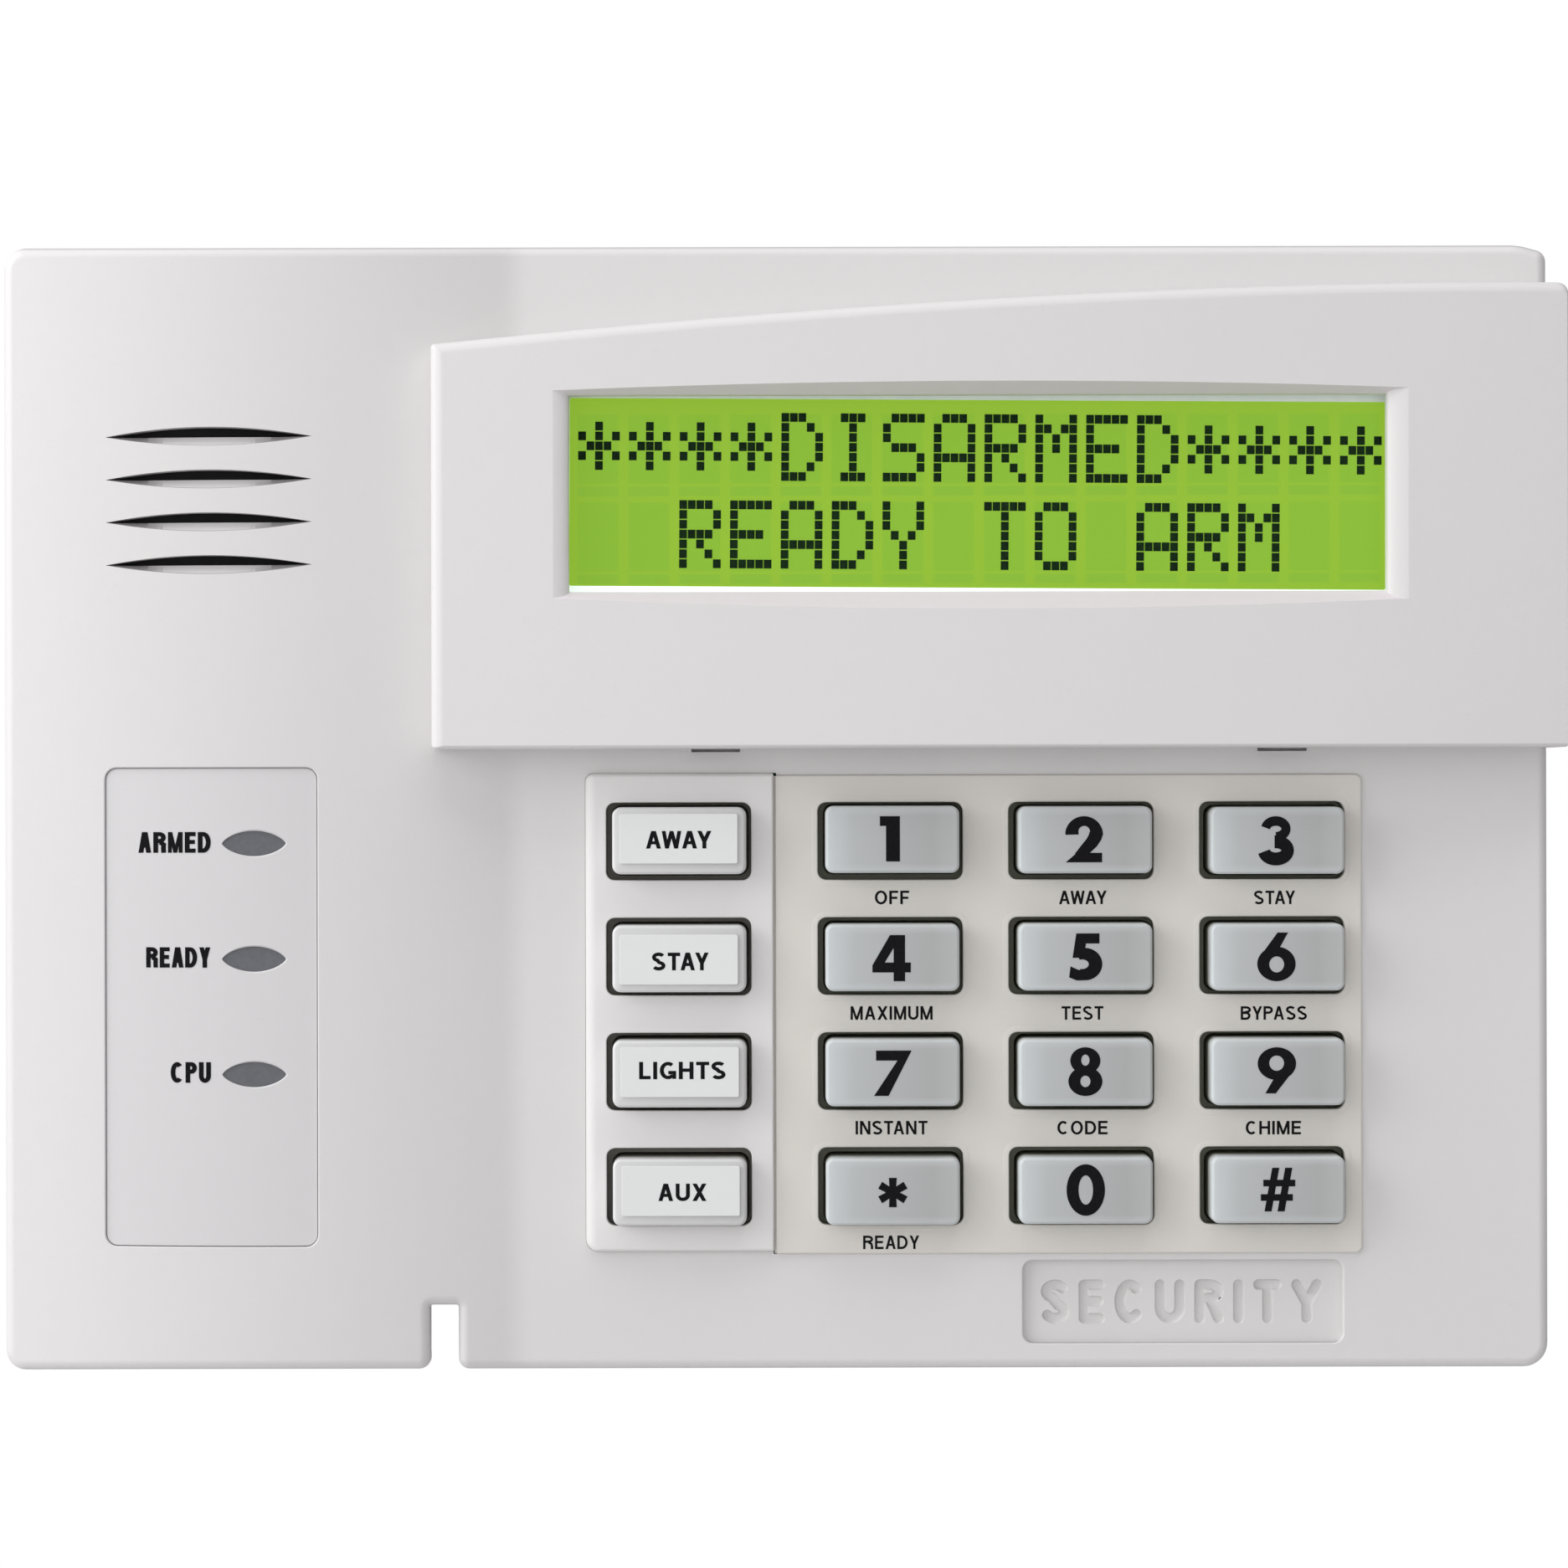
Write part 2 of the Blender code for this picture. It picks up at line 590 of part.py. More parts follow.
def make_key(name, x, z, cap, mat, shared=None):
    """A key cap with its retaining flange and switch foot, origin on its axis."""
    if shared is not None:
        ob = bpy.data.objects.new(name, shared.data)
        PARTS.objects.link(ob)
        ob.location = (x * MM, -KEY_TOP_D * MM, z * MM)
        return ob
    width, height, radius = cap
    ob = plate(name, [centred(0, 0, width, height, radius, 2)], 18.4, KEY_TOP_D,
               mat, bevel=0.4, bevel_segments=1)
    flange = plate(name + "_flange", [centred(0, 0, 18.0, 10.0, 1.0, 1)],
                   *KEY_FLANGE_D, cutter=True)
    foot = box(name + "_foot", -3.5, 3.5, KEY_FOOT_D, 18.8, -2.0, 2.0,
               cutter=True)
    boolean(ob, flange, 'UNION')
    boolean(ob, foot, 'UNION')
    bpy.context.view_layer.update()
    depsgraph = bpy.context.evaluated_depsgraph_get()
    mesh = bpy.data.meshes.new_from_object(ob.evaluated_get(depsgraph),
                                           depsgraph=depsgraph)
    mesh.name = name + "_solid"
    ob.modifiers.clear()
    ob.data = mesh
    for tool in (flange, foot):
        bpy.data.objects.remove(tool, do_unlink=True)
    set_origin(ob, 0.0, KEY_TOP_D, 0.0)
    ob.location = (x * MM, -KEY_TOP_D * MM, z * MM)
    return ob


def make_keys():
    names = [["key_1", "key_2", "key_3"], ["key_4", "key_5", "key_6"],
             ["key_7", "key_8", "key_9"], ["key_star", "key_0", "key_hash"]]
    first = None
    for row, z in zip(names, KEY_Z):
        for name, x in zip(row, KEY_X):
            ob = make_key(name, x, z, KEY_CAP, SILICONE_GREY, first)
            first = first or ob
    first = None
    label = None
    for i, z in enumerate(KEY_Z):
        ob = make_key(f"function_key_{i + 1}", FUNCTION_X, z, FUNCTION_CAP,
                      CLEAR_RUBBER, first)
        first = first or ob
        if label is None:
            label = plate("function_label_1", [centred(0, 0, *LABEL, 0.3, 1)],
                          KEY_TOP_D + 0.3, KEY_TOP_D + 0.6, STICKER)
            set_origin(label, 0.0, KEY_TOP_D, 0.0)
            item = label
        else:
            item = bpy.data.objects.new(f"function_label_{i + 1}", label.data)
            PARTS.objects.link(item)
        item.location = (FUNCTION_X * MM, -KEY_TOP_D * MM, z * MM)


# ---------------------------------------------------------------- inside pieces
def make_boards():
    holes = [centred(x, z, 9.0, 6.0, 0.8, 1) for z in KEY_Z
             for x in (FUNCTION_X,) + KEY_X]
    plate("key_mat", [rectangle(-21.5, 69.5, -52.6, 3.4, 2.0, 2)] + holes,
          BOARD_D[1] + 0.3, BOARD_D[1] + 1.8, MAT_RUBBER)
    plate("main_board", [rectangle(*BOARD, 1.5, 2)]
          + [circle(x, z, 1.5, 12) for x, z in BOSSES], *BOARD_D, BOARD_GREEN)
    plate("lcd_board", [rectangle(*LCD_BOARD, 1.0, 1)]
          + [circle(x, z, 1.6, 10) for x, z in LCD_POSTS], *LCD_BOARD_D,
          BOARD_GREEN)
    plate("lcd_frame", [rectangle(-28.3, 76.2, 21.8, 52.2, 0.5, 1),
                        rectangle(-25.5, 73.4, 24.3, 49.9, 0.0)],
          21.8, 27.0, LCD_METAL)
    box("lcd_backlight", -25.1, 73.0, 22.1, 24.4, 24.7, 49.5, LIGHT_PANEL)
    box("lcd_glass", -25.1, 73.0, 24.8, 26.8, 24.7, 49.5, LCD_GREEN)
    plate("lcd_window", [rectangle(-28.6, 76.5, 21.4, 52.6, 0.8, 1)], 27.4, 28.6,
          CLEAR_LENS)
    box("lcd_header", 2.0, 42.6, BOARD_D[1] + 0.3, LCD_BOARD_D[0] - 0.3, 15.4,
        17.9, BLACK_PLASTIC)


def make_status_row():
    face = faceted(pod_surface, POD_XS, -0.06)
    under = faceted(pod_surface, POD_XS, -0.3)
    x0, x1, z0, z1 = STATUS_LABEL
    g = 0.3
    plate("status_label", [rectangle(x0 + g, x1 - g, z0 + g, z1 - g, 1.1)]
          + [lens(LED_X, z, LED_OVAL[0] / 2, LED_OVAL[1] / 2, True, True, 6)
             for z in LED_Z], 24.0, 26.0, STATUS_FILM, stations=POD_XS[1:-1],
          front=face, back=under)
    front = pod_surface(LED_X) - 0.9
    for name, z in zip(("armed", "ready", "cpu"), LED_Z):
        plate(f"light_pipe_{name}", [lens(LED_X, z, LED_OVAL[0] / 2 - 0.6,
                                          LED_OVAL[1] / 2 - 0.3, True, True, 5)],
              18.5, front, SMOKED_LENS)
    for i, z in enumerate(LED_Z):
        base = BOARD_D[1] + 0.3
        dome = [(1.5 * math.sin(math.radians(a)),
                 base + 2.8 + 1.5 * math.cos(math.radians(a)))
                for a in (0, 30, 60, 90)]
        turned(f"status_led_{i + 1}", dome + [(1.5, base + 1.0),
                                              (1.8, base + 1.0), (1.8, base),
                                              (0.0, base)],
               LED_X, z, LED_DIFFUSE, 12)


def make_speaker():
    turned("speaker_basket", [(0, 18.6), (8.5, 18.6), (14.6, 21.6),
                              (14.6, 22.4), (17.0, 22.4), (17.0, 21.2),
                              (15.4, 21.2), (9.2, 17.8), (0, 17.8)],
           SPEAKER_X, SPEAKER_Z, STEEL, 24)
    turned("speaker_cone", [(0, 21.1), (1.8, 20.95), (3.2, 20.5), (4.2, 19.9),
                            (13.2, 22.2), (14.2, 22.2), (14.2, 21.8),
                            (13.3, 21.8), (4.2, 19.4), (3.2, 20.0), (0, 20.6)],
           SPEAKER_X, SPEAKER_Z, PAPER_CONE, 24)
    turned("speaker_magnet", [(0, 17.5), (8.6, 17.5), (9.0, 17.1), (9.0, 14.6),
                              (8.6, 14.2), (0, 14.2)],
           SPEAKER_X, SPEAKER_Z, FERRITE, 20)
    turned("speaker_felt", [(0, 23.1), (15.0, 23.1), (15.0, 22.7), (0, 22.7)],
           SPEAKER_X, SPEAKER_Z, FELT, 24)


def make_rear_pieces():
    block = box("terminal_block", -58.0, -44.0, 4.8, BOARD_D[0] - 0.3, 11.0, 33.0,
                TERMINAL_GREEN)
    spots = [14.0 + 5.33 * k for k in range(4)]
    for i, z in enumerate(spots):
        boolean(block, cylinder(f"terminal_screw_hole_{i + 1}", -53.0, z, 1.8, 3.0,
                                8.4, cutter=True, segments=12))
        boolean(block, box(f"wire_port_{i + 1}", -49.0, -42.0, 7.4, 10.0, z - 1.3,
                           z + 1.3, cutter=True))
        ob = turned(f"terminal_screw_{i + 1}", [(0, 8.1), (1.5, 8.1), (1.5, 5.6),
                                                (1.2, 5.3), (0, 5.3)],
                    -53.0, z, ZINC, 14)
        boolean(ob, box(f"terminal_slot_{i + 1}", -55.0, -51.0, 4.0, 6.0,
                        z - 0.25, z + 0.25, cutter=True))
    chip = box("processor_chip", 18.0, 30.0, 10.2, BOARD_D[0] - 0.3, -9.0, 9.0,
               BLACK_PLASTIC)
    boolean(chip, cylinder("chip_mark", 20.0, 7.2, 0.7, 9.0, 10.5, cutter=True,
                           segments=10))
    for i, (x, z) in enumerate(BOSSES):
        ob = turned(f"board_screw_{i + 1}", [(0, 20.0), (0.6, 20.0), (1.0, 19.2),
                                             (1.0, 11.7), (2.5, 11.7),
                                             (2.5, 10.6), (1.9, 9.9), (0, 9.9)],
                    x, z, STEEL, 14)
        for k, (w, h) in enumerate(((2.6, 0.6), (0.6, 2.6))):
            boolean(ob, box(f"driver_slot_{i + 1}_{k + 1}", x - w / 2, x + w / 2,
                            9.0, 10.9, z - h / 2, z + h / 2, cutter=True))


make_front_case()
make_back_plate()
make_surround()
make_strip()
make_keys()
make_boards()
make_status_row()
make_speaker()
make_rear_pieces()
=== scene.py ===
import math

import bmesh
import bpy
import numpy as np
from mathutils import Matrix, Vector
from mathutils.geometry import tessellate_polygon


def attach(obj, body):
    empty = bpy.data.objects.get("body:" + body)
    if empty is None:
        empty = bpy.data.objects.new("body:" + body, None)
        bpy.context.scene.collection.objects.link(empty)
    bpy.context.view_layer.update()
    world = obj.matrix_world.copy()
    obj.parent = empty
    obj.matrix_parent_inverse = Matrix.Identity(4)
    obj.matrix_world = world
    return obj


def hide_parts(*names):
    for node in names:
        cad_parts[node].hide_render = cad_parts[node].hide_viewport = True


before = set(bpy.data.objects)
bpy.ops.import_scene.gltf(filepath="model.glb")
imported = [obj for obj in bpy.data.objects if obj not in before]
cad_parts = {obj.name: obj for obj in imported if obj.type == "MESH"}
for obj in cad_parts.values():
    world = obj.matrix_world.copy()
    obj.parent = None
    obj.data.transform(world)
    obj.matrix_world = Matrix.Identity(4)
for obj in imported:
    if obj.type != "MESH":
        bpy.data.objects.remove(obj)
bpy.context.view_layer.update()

MM = 0.001
HOUSING = "housing"

# ------------------------------------------------------------------ sizes (mm)
CASE_W, CASE_H = 92.3, 67.1
WALL = 2.2
FACE_D = 24.0
HOOD_L, HOOD_R, HOOD_B = -40.6, 93.5, 7.0
RIM = (-24.28, 72.2, 25.47, 48.68)      # display window rim
RIM_D = 30.3
OPENING = (-23.0, 70.3, -53.6, 4.4)
STRIP = (-22.7, -0.19, -53.0, 4.1)
SURROUND = (0.0, 70.0, -53.3, 3.85)
STRIP_D, SURROUND_D = 25.0, 24.5
KEY_X = (13.69, 36.46, 59.24)
FX = -11.54
KEY_Z = (-4.02, -17.75, -31.48, -45.20)
KEY_TOP = 27.7
STATUS = (-79.74, -54.32, -51.97, 4.87)
LED_X, LED_Z = -61.88, (-4.13, -17.85, -31.55)
SPK_X, SPK_Z = -67.24, 36.6
LOUVRES = (44.2, 39.13, 34.05, 28.97)
BADGE = (29.5, 67.7, -64.05, -54.2)


def pod(x):
    """Depth of the case's front face at x: crowned on the left, flat elsewhere."""
    if x >= -29.5:
        return FACE_D
    if x >= -32.6:
        return FACE_D + 0.370 * ((-29.5 - x) / 3.1) ** 2
    return 27.7 - (x + 60.3) ** 2 / 230.4


ROLL = math.radians(0.12)


def at(px, py, d):
    """Object X and Z seen at a place of the picture, for a point at depth d."""
    u, v = px - 936.5, 936.5 - py
    u, v = u + v * ROLL, v - u * ROLL
    s = 0.1 * (500.0 - (d - FACE_D)) / 500.0
    return u * s + 1.05, v * s + 2.8


def crown(x):
    return 32.8 - (x - 26.4) ** 2 / 1734.0


def hood_top(x):
    return 61.91 - 6.913 * (max(0.0, 91.27 - x) / 130.36) ** 1.737


def flat(x):
    return FACE_D


# ------------------------------------------------------------------ outlines
def ring_points(corners, seg=6, inset=0.0, edge_scale=None):
    """Closed outline through corners (x, z, r), counter-clockwise, moved inwards.

    edge_scale holds one factor for each edge i -> i+1, for uneven insets.  The
    number of points doesn't depend on inset, so levels can be lofted together.
    """
    n = len(corners)
    scale = edge_scale or [1.0] * n
    pts = [Vector(c[:2]) for c in corners]
    moved = []
    for i in range(n):
        a, b, c = pts[i - 1], pts[i], pts[(i + 1) % n]
        d1, d2 = (b - a).normalized(), (c - b).normalized()
        n1, n2 = Vector((-d1.y, d1.x)), Vector((-d2.y, d2.x))
        t1, t2 = inset * scale[i - 1], inset * scale[i]
        det = d1.x * d2.y - d1.y * d2.x
        if abs(det) < 1e-4:
            moved.append((b + n1 * t1, det))
            continue
        p1, p2 = a + n1 * t1, b + n2 * t2
        w = p2 - p1
        s = (w.x * d2.y - w.y * d2.x) / det
        moved.append((p1 + d1 * s, det))
    out = []
    for i in range(n):
        p, det = moved[i]
        r0 = corners[i][2]
        if r0 <= 0:
            out.append((p.x, p.y))
            continue
        r = max(r0 - inset, 0.015) if det > 0 else r0 + inset
        before = (moved[i - 1][0] - p).normalized()
        after = (moved[(i + 1) % n][0] - p).normalized()
        half = before.angle(after) / 2
        centre = p + (before + after).normalized() * (r / math.sin(half))
        start = p + before * (r / math.tan(half)) - centre
        end = p + after * (r / math.tan(half)) - centre
        sweep = -start.angle_signed(end)
        for k in range(seg + 1):
            c, s = math.cos(sweep * k / seg), math.sin(sweep * k / seg)
            out.append((centre.x + start.x * c - start.y * s,
                        centre.y + start.x * s + start.y * c))
    return out


def rect(x0, x1, z0, z1, r=0.0):
    return [(x0, z0, r), (x1, z0, r), (x1, z1, r), (x0, z1, r)]


def crect(x, z, w, h, r=0.0):
    return rect(x - w / 2, x + w / 2, z - h / 2, z + h / 2, r)


def rounding(r, top, steps=6, start_deg=0.0):
    """(inset, d) pairs round a quarter circle that ends flat at depth top."""
    out = []
    for k in range(steps + 1):
        a = math.radians(start_deg + (90 - start_deg) * k / steps)
        out.append((r * (1 - math.cos(a)), top - r * (1 - math.sin(a))))
    return out


# ------------------------------------------------------------------ mesh kernel
def new_object(name, bm):
    bmesh.ops.recalc_face_normals(bm, faces=bm.faces)
    me = bpy.data.meshes.new(name)
    bm.to_mesh(me)
    bm.free()
    ob = bpy.data.objects.new(name, me)
    bpy.context.scene.collection.objects.link(ob)
    return ob


def loft(levels, bend=None, base=FACE_D, bend_from=-1e9, stations=()):
    """Closed solid through levels (points, d), back to front.

    Vertices at least bend_from deep are moved by bend(x) - base afterwards, so
    flat levels follow a curved face.
    """
    bm = bmesh.new()
    rows = [[bm.verts.new((x * MM, -d * MM, z * MM)) for x, z in pts]
            for pts, d in levels]
    n = len(rows[0])
    for a, b in zip(rows, rows[1:]):
        for i in range(n):
            j = (i + 1) % n
            bm.faces.new((a[i], a[j], b[j], b[i]))
    bm.faces.new(rows[0][::-1])
    bm.faces.new(rows[-1])
    if bend:
        for x in stations:
            bmesh.ops.bisect_plane(
                bm, geom=bm.verts[:] + bm.edges[:] + bm.faces[:],
                plane_co=(x * MM, 0, 0), plane_no=(1, 0, 0), dist=2e-6)
        for v in bm.verts:
            if -v.co.y / MM >= bend_from - 1e-4:
                v.co.y -= (bend(v.co.x / MM) - base) * MM
    return bm


POD_STATIONS = [-92.0 + 2.0 * k for k in range(30)] + \
    [-32.6 + 0.31 * k for k in range(11)]
HOOD_STATIONS = [-40.0 + 3.4 * k for k in range(40)]


def cutter(name, corners, deep, top, flare=0.0, seg=6, steps=4, bend=None,
           stations=()):
    """A cutting solid with a softly flared mouth at depth top."""
    levels = [(ring_points(corners, seg), deep)]
    if flare > 0:
        for k in range(steps + 1):
            a = math.radians(90.0 * k / steps)
            levels.append((ring_points(corners, seg, -flare * (1 - math.cos(a))),
                           top - flare * (1 - math.sin(a))))
        levels.append((ring_points(corners, seg, -flare - 0.02), top + 3.0))
    else:
        levels.append((ring_points(corners, seg), top + 3.0))
    bm = loft(levels, bend=bend, stations=stations)
    return new_object(name, bm)


def boolean(ob, tools, operation='DIFFERENCE', self_cut=False):
    for tool in tools:
        m = ob.modifiers.new("cut", 'BOOLEAN')
        m.operation, m.solver, m.object = operation, 'EXACT', tool
        m.use_self = self_cut
    bpy.context.view_layer.update()
    dg = bpy.context.evaluated_depsgraph_get()
    me = bpy.data.meshes.new_from_object(ob.evaluated_get(dg), depsgraph=dg)
    ob.modifiers.clear()
    ob.data = me
    for tool in tools:
        bpy.data.objects.remove(tool, do_unlink=True)
    return ob


def smooth(ob, angle=38.0, surfaces=()):
    """Area-weighted split normals, and exact ones on known curved faces.

    surfaces holds (depth function, tolerance in mm) pairs.
    """
    me = ob.data
    bm = bmesh.new()
    bm.from_mesh(me)
    bmesh.ops.remove_doubles(bm, verts=bm.verts, dist=2e-6)
    bmesh.ops.dissolve_degenerate(bm, edges=bm.edges, dist=1e-6)
    bm.to_mesh(me)
    bm.free()
    me.shade_smooth()
    nf, nl, nv = len(me.polygons), len(me.loops), len(me.vertices)
    fn = np.zeros(nf * 3); me.polygons.foreach_get("normal", fn); fn = fn.reshape(-1, 3)
    fa = np.zeros(nf); me.polygons.foreach_get("area", fa)
    start = np.zeros(nf, int); me.polygons.foreach_get("loop_start", start)
    total = np.zeros(nf, int); me.polygons.foreach_get("loop_total", total)
    lv = np.zeros(nl, int); me.loops.foreach_get("vertex_index", lv)
    co = np.zeros(nv * 3); me.vertices.foreach_get("co", co); co = co.reshape(-1, 3)
    lf = np.repeat(np.arange(nf), total)
    order = np.argsort(lv, kind="stable")
    sv, sf = lv[order], lf[order]
    acc = fn[sf] * fa[sf][:, None]
    cosang = math.cos(math.radians(angle))
    valence = int(np.bincount(lv).max())
    for s in range(1, valence):
        a, b = np.arange(0, nl - s), np.arange(s, nl)
        same = sv[a] == sv[b]
        a, b = a[same], b[same]
        if not len(a):
            break
        near = np.einsum("ij,ij->i", fn[sf[a]], fn[sf[b]]) > cosang
        a, b = a[near], b[near]
        np.add.at(acc, a, fn[sf[b]] * fa[sf[b]][:, None])
        np.add.at(acc, b, fn[sf[a]] * fa[sf[a]][:, None])
    for f, tol in surfaces:
        x, d = co[sv][:, 0] / MM, -co[sv][:, 1] / MM
        want = np.array([f(t) for t in x])
        step = 0.02
        slope = np.array([(f(t + step) - f(t - step)) / (2 * step) for t in x])
        exact = np.stack([-slope, -np.ones_like(slope), np.zeros_like(slope)], 1)
        exact /= np.linalg.norm(exact, axis=1)[:, None]
        on = (np.abs(d - want) < tol) & (
            np.einsum("ij,ij->i", fn[sf], exact) > math.cos(math.radians(24)))
        # a vertex touching the curved face takes its normal in every near face
        acc[on] = exact[on]
    length = np.linalg.norm(acc, axis=1)
    acc[length < 1e-12] = fn[sf][length < 1e-12]
    acc /= np.linalg.norm(acc, axis=1)[:, None]
    out = np.zeros((nl, 3))
    out[order] = acc
    me.normals_split_custom_set(out.tolist())
    return ob


def finish_piece(ob, mat, body=HOUSING, angle=38.0, surfaces=(),
                 replaces=()):
    smooth(ob, angle, surfaces)
    ob.data.materials.clear()
    ob.data.materials.append(mat)
    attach(ob, body)
    if replaces:
        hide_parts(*replaces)
    return ob


# ------------------------------------------------------------------ materials
class Nodes:
    """Short helper for procedural materials."""

    def __init__(self, name):
        self.mat = bpy.data.materials.new(name)
        self.mat.use_nodes = True
        self.tree = self.mat.node_tree
        self.shader = self.tree.nodes["Principled BSDF"]

    def node(self, kind, **inputs):
        n = self.tree.nodes.new(kind)
        for key, value in inputs.items():
            if key.startswith("_"):
                setattr(n, key[1:], value)
            else:
                sock = n.inputs[int(key[1:])] if key[0] == "i" and key[1:].isdigit() \
                    else n.inputs[key.replace("__", " ")]
                if isinstance(value, bpy.types.NodeSocket):
                    self.tree.links.new(value, sock)
                else:
                    sock.default_value = value
        return n

    def coords(self, scale=(1, 1, 1)):
        tc = self.node("ShaderNodeTexCoord")
        mp = self.node("ShaderNodeMapping", Vector=tc.outputs["Object"])
        mp.inputs["Scale"].default_value = scale
        return mp.outputs["Vector"]

    def math(self, op, a, b=None, clamp=False):
        n = self.tree.nodes.new("ShaderNodeMath")
        n.operation = op
        n.use_clamp = clamp
        for i, v in enumerate((a, b)):
            if v is None:
                continue
            if isinstance(v, bpy.types.NodeSocket):
                self.tree.links.new(v, n.inputs[i])
            else:
                n.inputs[i].default_value = v
        return n.outputs[0]

    def noise(self, vec, scale, detail=3.0, rough=0.5):
        n = self.node("ShaderNodeTexNoise", Vector=vec)
        n.inputs["Scale"].default_value = scale
        n.inputs["Detail"].default_value = detail
        n.inputs["Roughness"].default_value = rough
        return n.outputs["Fac"]

    def ramp(self, fac, stops):
        n = self.node("ShaderNodeValToRGB", Fac=fac)
        el = n.color_ramp.elements
        while len(el) < len(stops):
            el.new(0.5)
        for e, (p, c) in zip(el, stops):
            e.position = p
            e.color = (*c, 1.0) if len(c) == 3 else c
        return n.outputs["Color"]

    def mix(self, fac, a, b):
        n = self.tree.nodes.new("ShaderNodeMix")
        n.data_type = 'RGBA'
        for key, v in (("Factor", fac), ("A", a), ("B", b)):
            sock = [s for s in n.inputs if s.name == key and
                    (s.type == 'VALUE' if key == "Factor" else s.type == 'RGBA')][0]
            if isinstance(v, bpy.types.NodeSocket):
                self.tree.links.new(v, sock)
            else:
                sock.default_value = v if key == "Factor" else (*v, 1.0)
        return [s for s in n.outputs if s.type == 'RGBA'][0]

    def range(self, value, a, b, c, d):
        n = self.node("ShaderNodeMapRange", Value=value)
        for i, v in zip((1, 2, 3, 4), (a, b, c, d)):
            n.inputs[i].default_value = v
        return n.outputs[0]

    def bump(self, height, strength, distance=0.0001, normal=None):
        n = self.node("ShaderNodeBump", Height=height)
        n.inputs["Strength"].default_value = strength
        n.inputs["Distance"].default_value = distance
        if normal is not None:
            self.tree.links.new(normal, n.inputs["Normal"])
        return n.outputs["Normal"]

    def set(self, **inputs):
        for key, value in inputs.items():
            sock = self.shader.inputs[key.replace("__", " ")]
            if isinstance(value, bpy.types.NodeSocket):
                self.tree.links.new(value, sock)
            else:
                sock.default_value = value
        return self.mat


def shade(c, k):
    return tuple(min(1.0, v * k) for v in c)


def plastic(name, colour, rough=0.42, grain=0.25, vary=0.02, specular=0.5,
            grain_scale=5200.0, painted_ledge_shade=None, deep=None):
    """Moulded plastic: spark-eroded grain, faint flow marks and handling marks.

    ledges paints shade on faces that look straight up and down: painted shade along the top and bottom edges.
    deep is (depth, colour): painted shade, the darker tone further back than that, in the key holes.
    """
    n = Nodes(name)
    v = n.coords()
    large = n.noise(v, 22.0, 3.0)
    fine = n.noise(v, 420.0, 4.0, 0.6)
    blend = n.math('ADD', n.math('MULTIPLY', large, 0.7),
                   n.math('MULTIPLY', fine, 0.3))
    col = n.ramp(blend, [(0.3, shade(colour, 1 - vary)), (0.7, shade(colour, 1 + vary))])
    specks = n.noise(v, 900.0, 2.0)
    col = n.mix(n.range(specks, 0.74, 0.80, 0.0, 0.10), col, shade(colour, 0.72))
    # painted shade: faces looking straight up or down are darkened
    if painted_ledge_shade:
        face = n.node("ShaderNodeNewGeometry").outputs["Normal"]
        up = n.node("ShaderNodeSeparateXYZ", Vector=face).outputs["Z"]
        col = n.mix(n.range(up, 0.74, 0.93, 0.0, 1.0 - painted_ledge_shade[0]), col, (0.0, 0.0, 0.0))
        down = n.math('MULTIPLY', up, -1.0)
        col = n.mix(n.range(down, 0.74, 0.95, 0.0, 1.0 - painted_ledge_shade[1]), col, (0.0, 0.0, 0.0))
    # painted shade: everything further back than the given depth turns to the shade colour
    if deep:
        obj = n.node("ShaderNodeTexCoord").outputs["Object"]
        back = n.node("ShaderNodeSeparateXYZ", Vector=obj).outputs["Y"]
        low = n.range(back, -(deep[0] - 0.1) * MM, -(deep[0] - 1.3) * MM, 0.0, 1.0)
        col = n.mix(low, col, deep[1])
    grain_h = n.noise(v, grain_scale, 2.0, 0.55)
    waves = n.noise(v, 60.0, 2.0)
    normal = n.bump(grain_h, grain, 0.00006)
    normal = n.bump(waves, 0.12, 0.0002, normal)
    rg = n.range(fine, 0.3, 0.7, rough - 0.05, rough + 0.06)
    return n.set(Base__Color=col, Roughness=rg, Normal=normal,
                 Specular__IOR__Level=specular)


def ink(name, colour, rough=0.6):
    """Pad-printed ink with slightly uneven cover."""
    n = Nodes(name)
    n.shader.inputs["Specular IOR Level"].default_value = 0.06
    v = n.coords()
    fac = n.noise(v, 2600.0, 3.0, 0.6)
    col = n.ramp(fac, [(0.35, colour), (0.7, shade(colour, 1.7))])
    normal = n.bump(fac, 0.25, 0.00003)
    rg = n.range(fac, 0.3, 0.7, rough - 0.08, rough + 0.1)
    return n.set(Base__Color=col, Roughness=rg, Normal=normal)


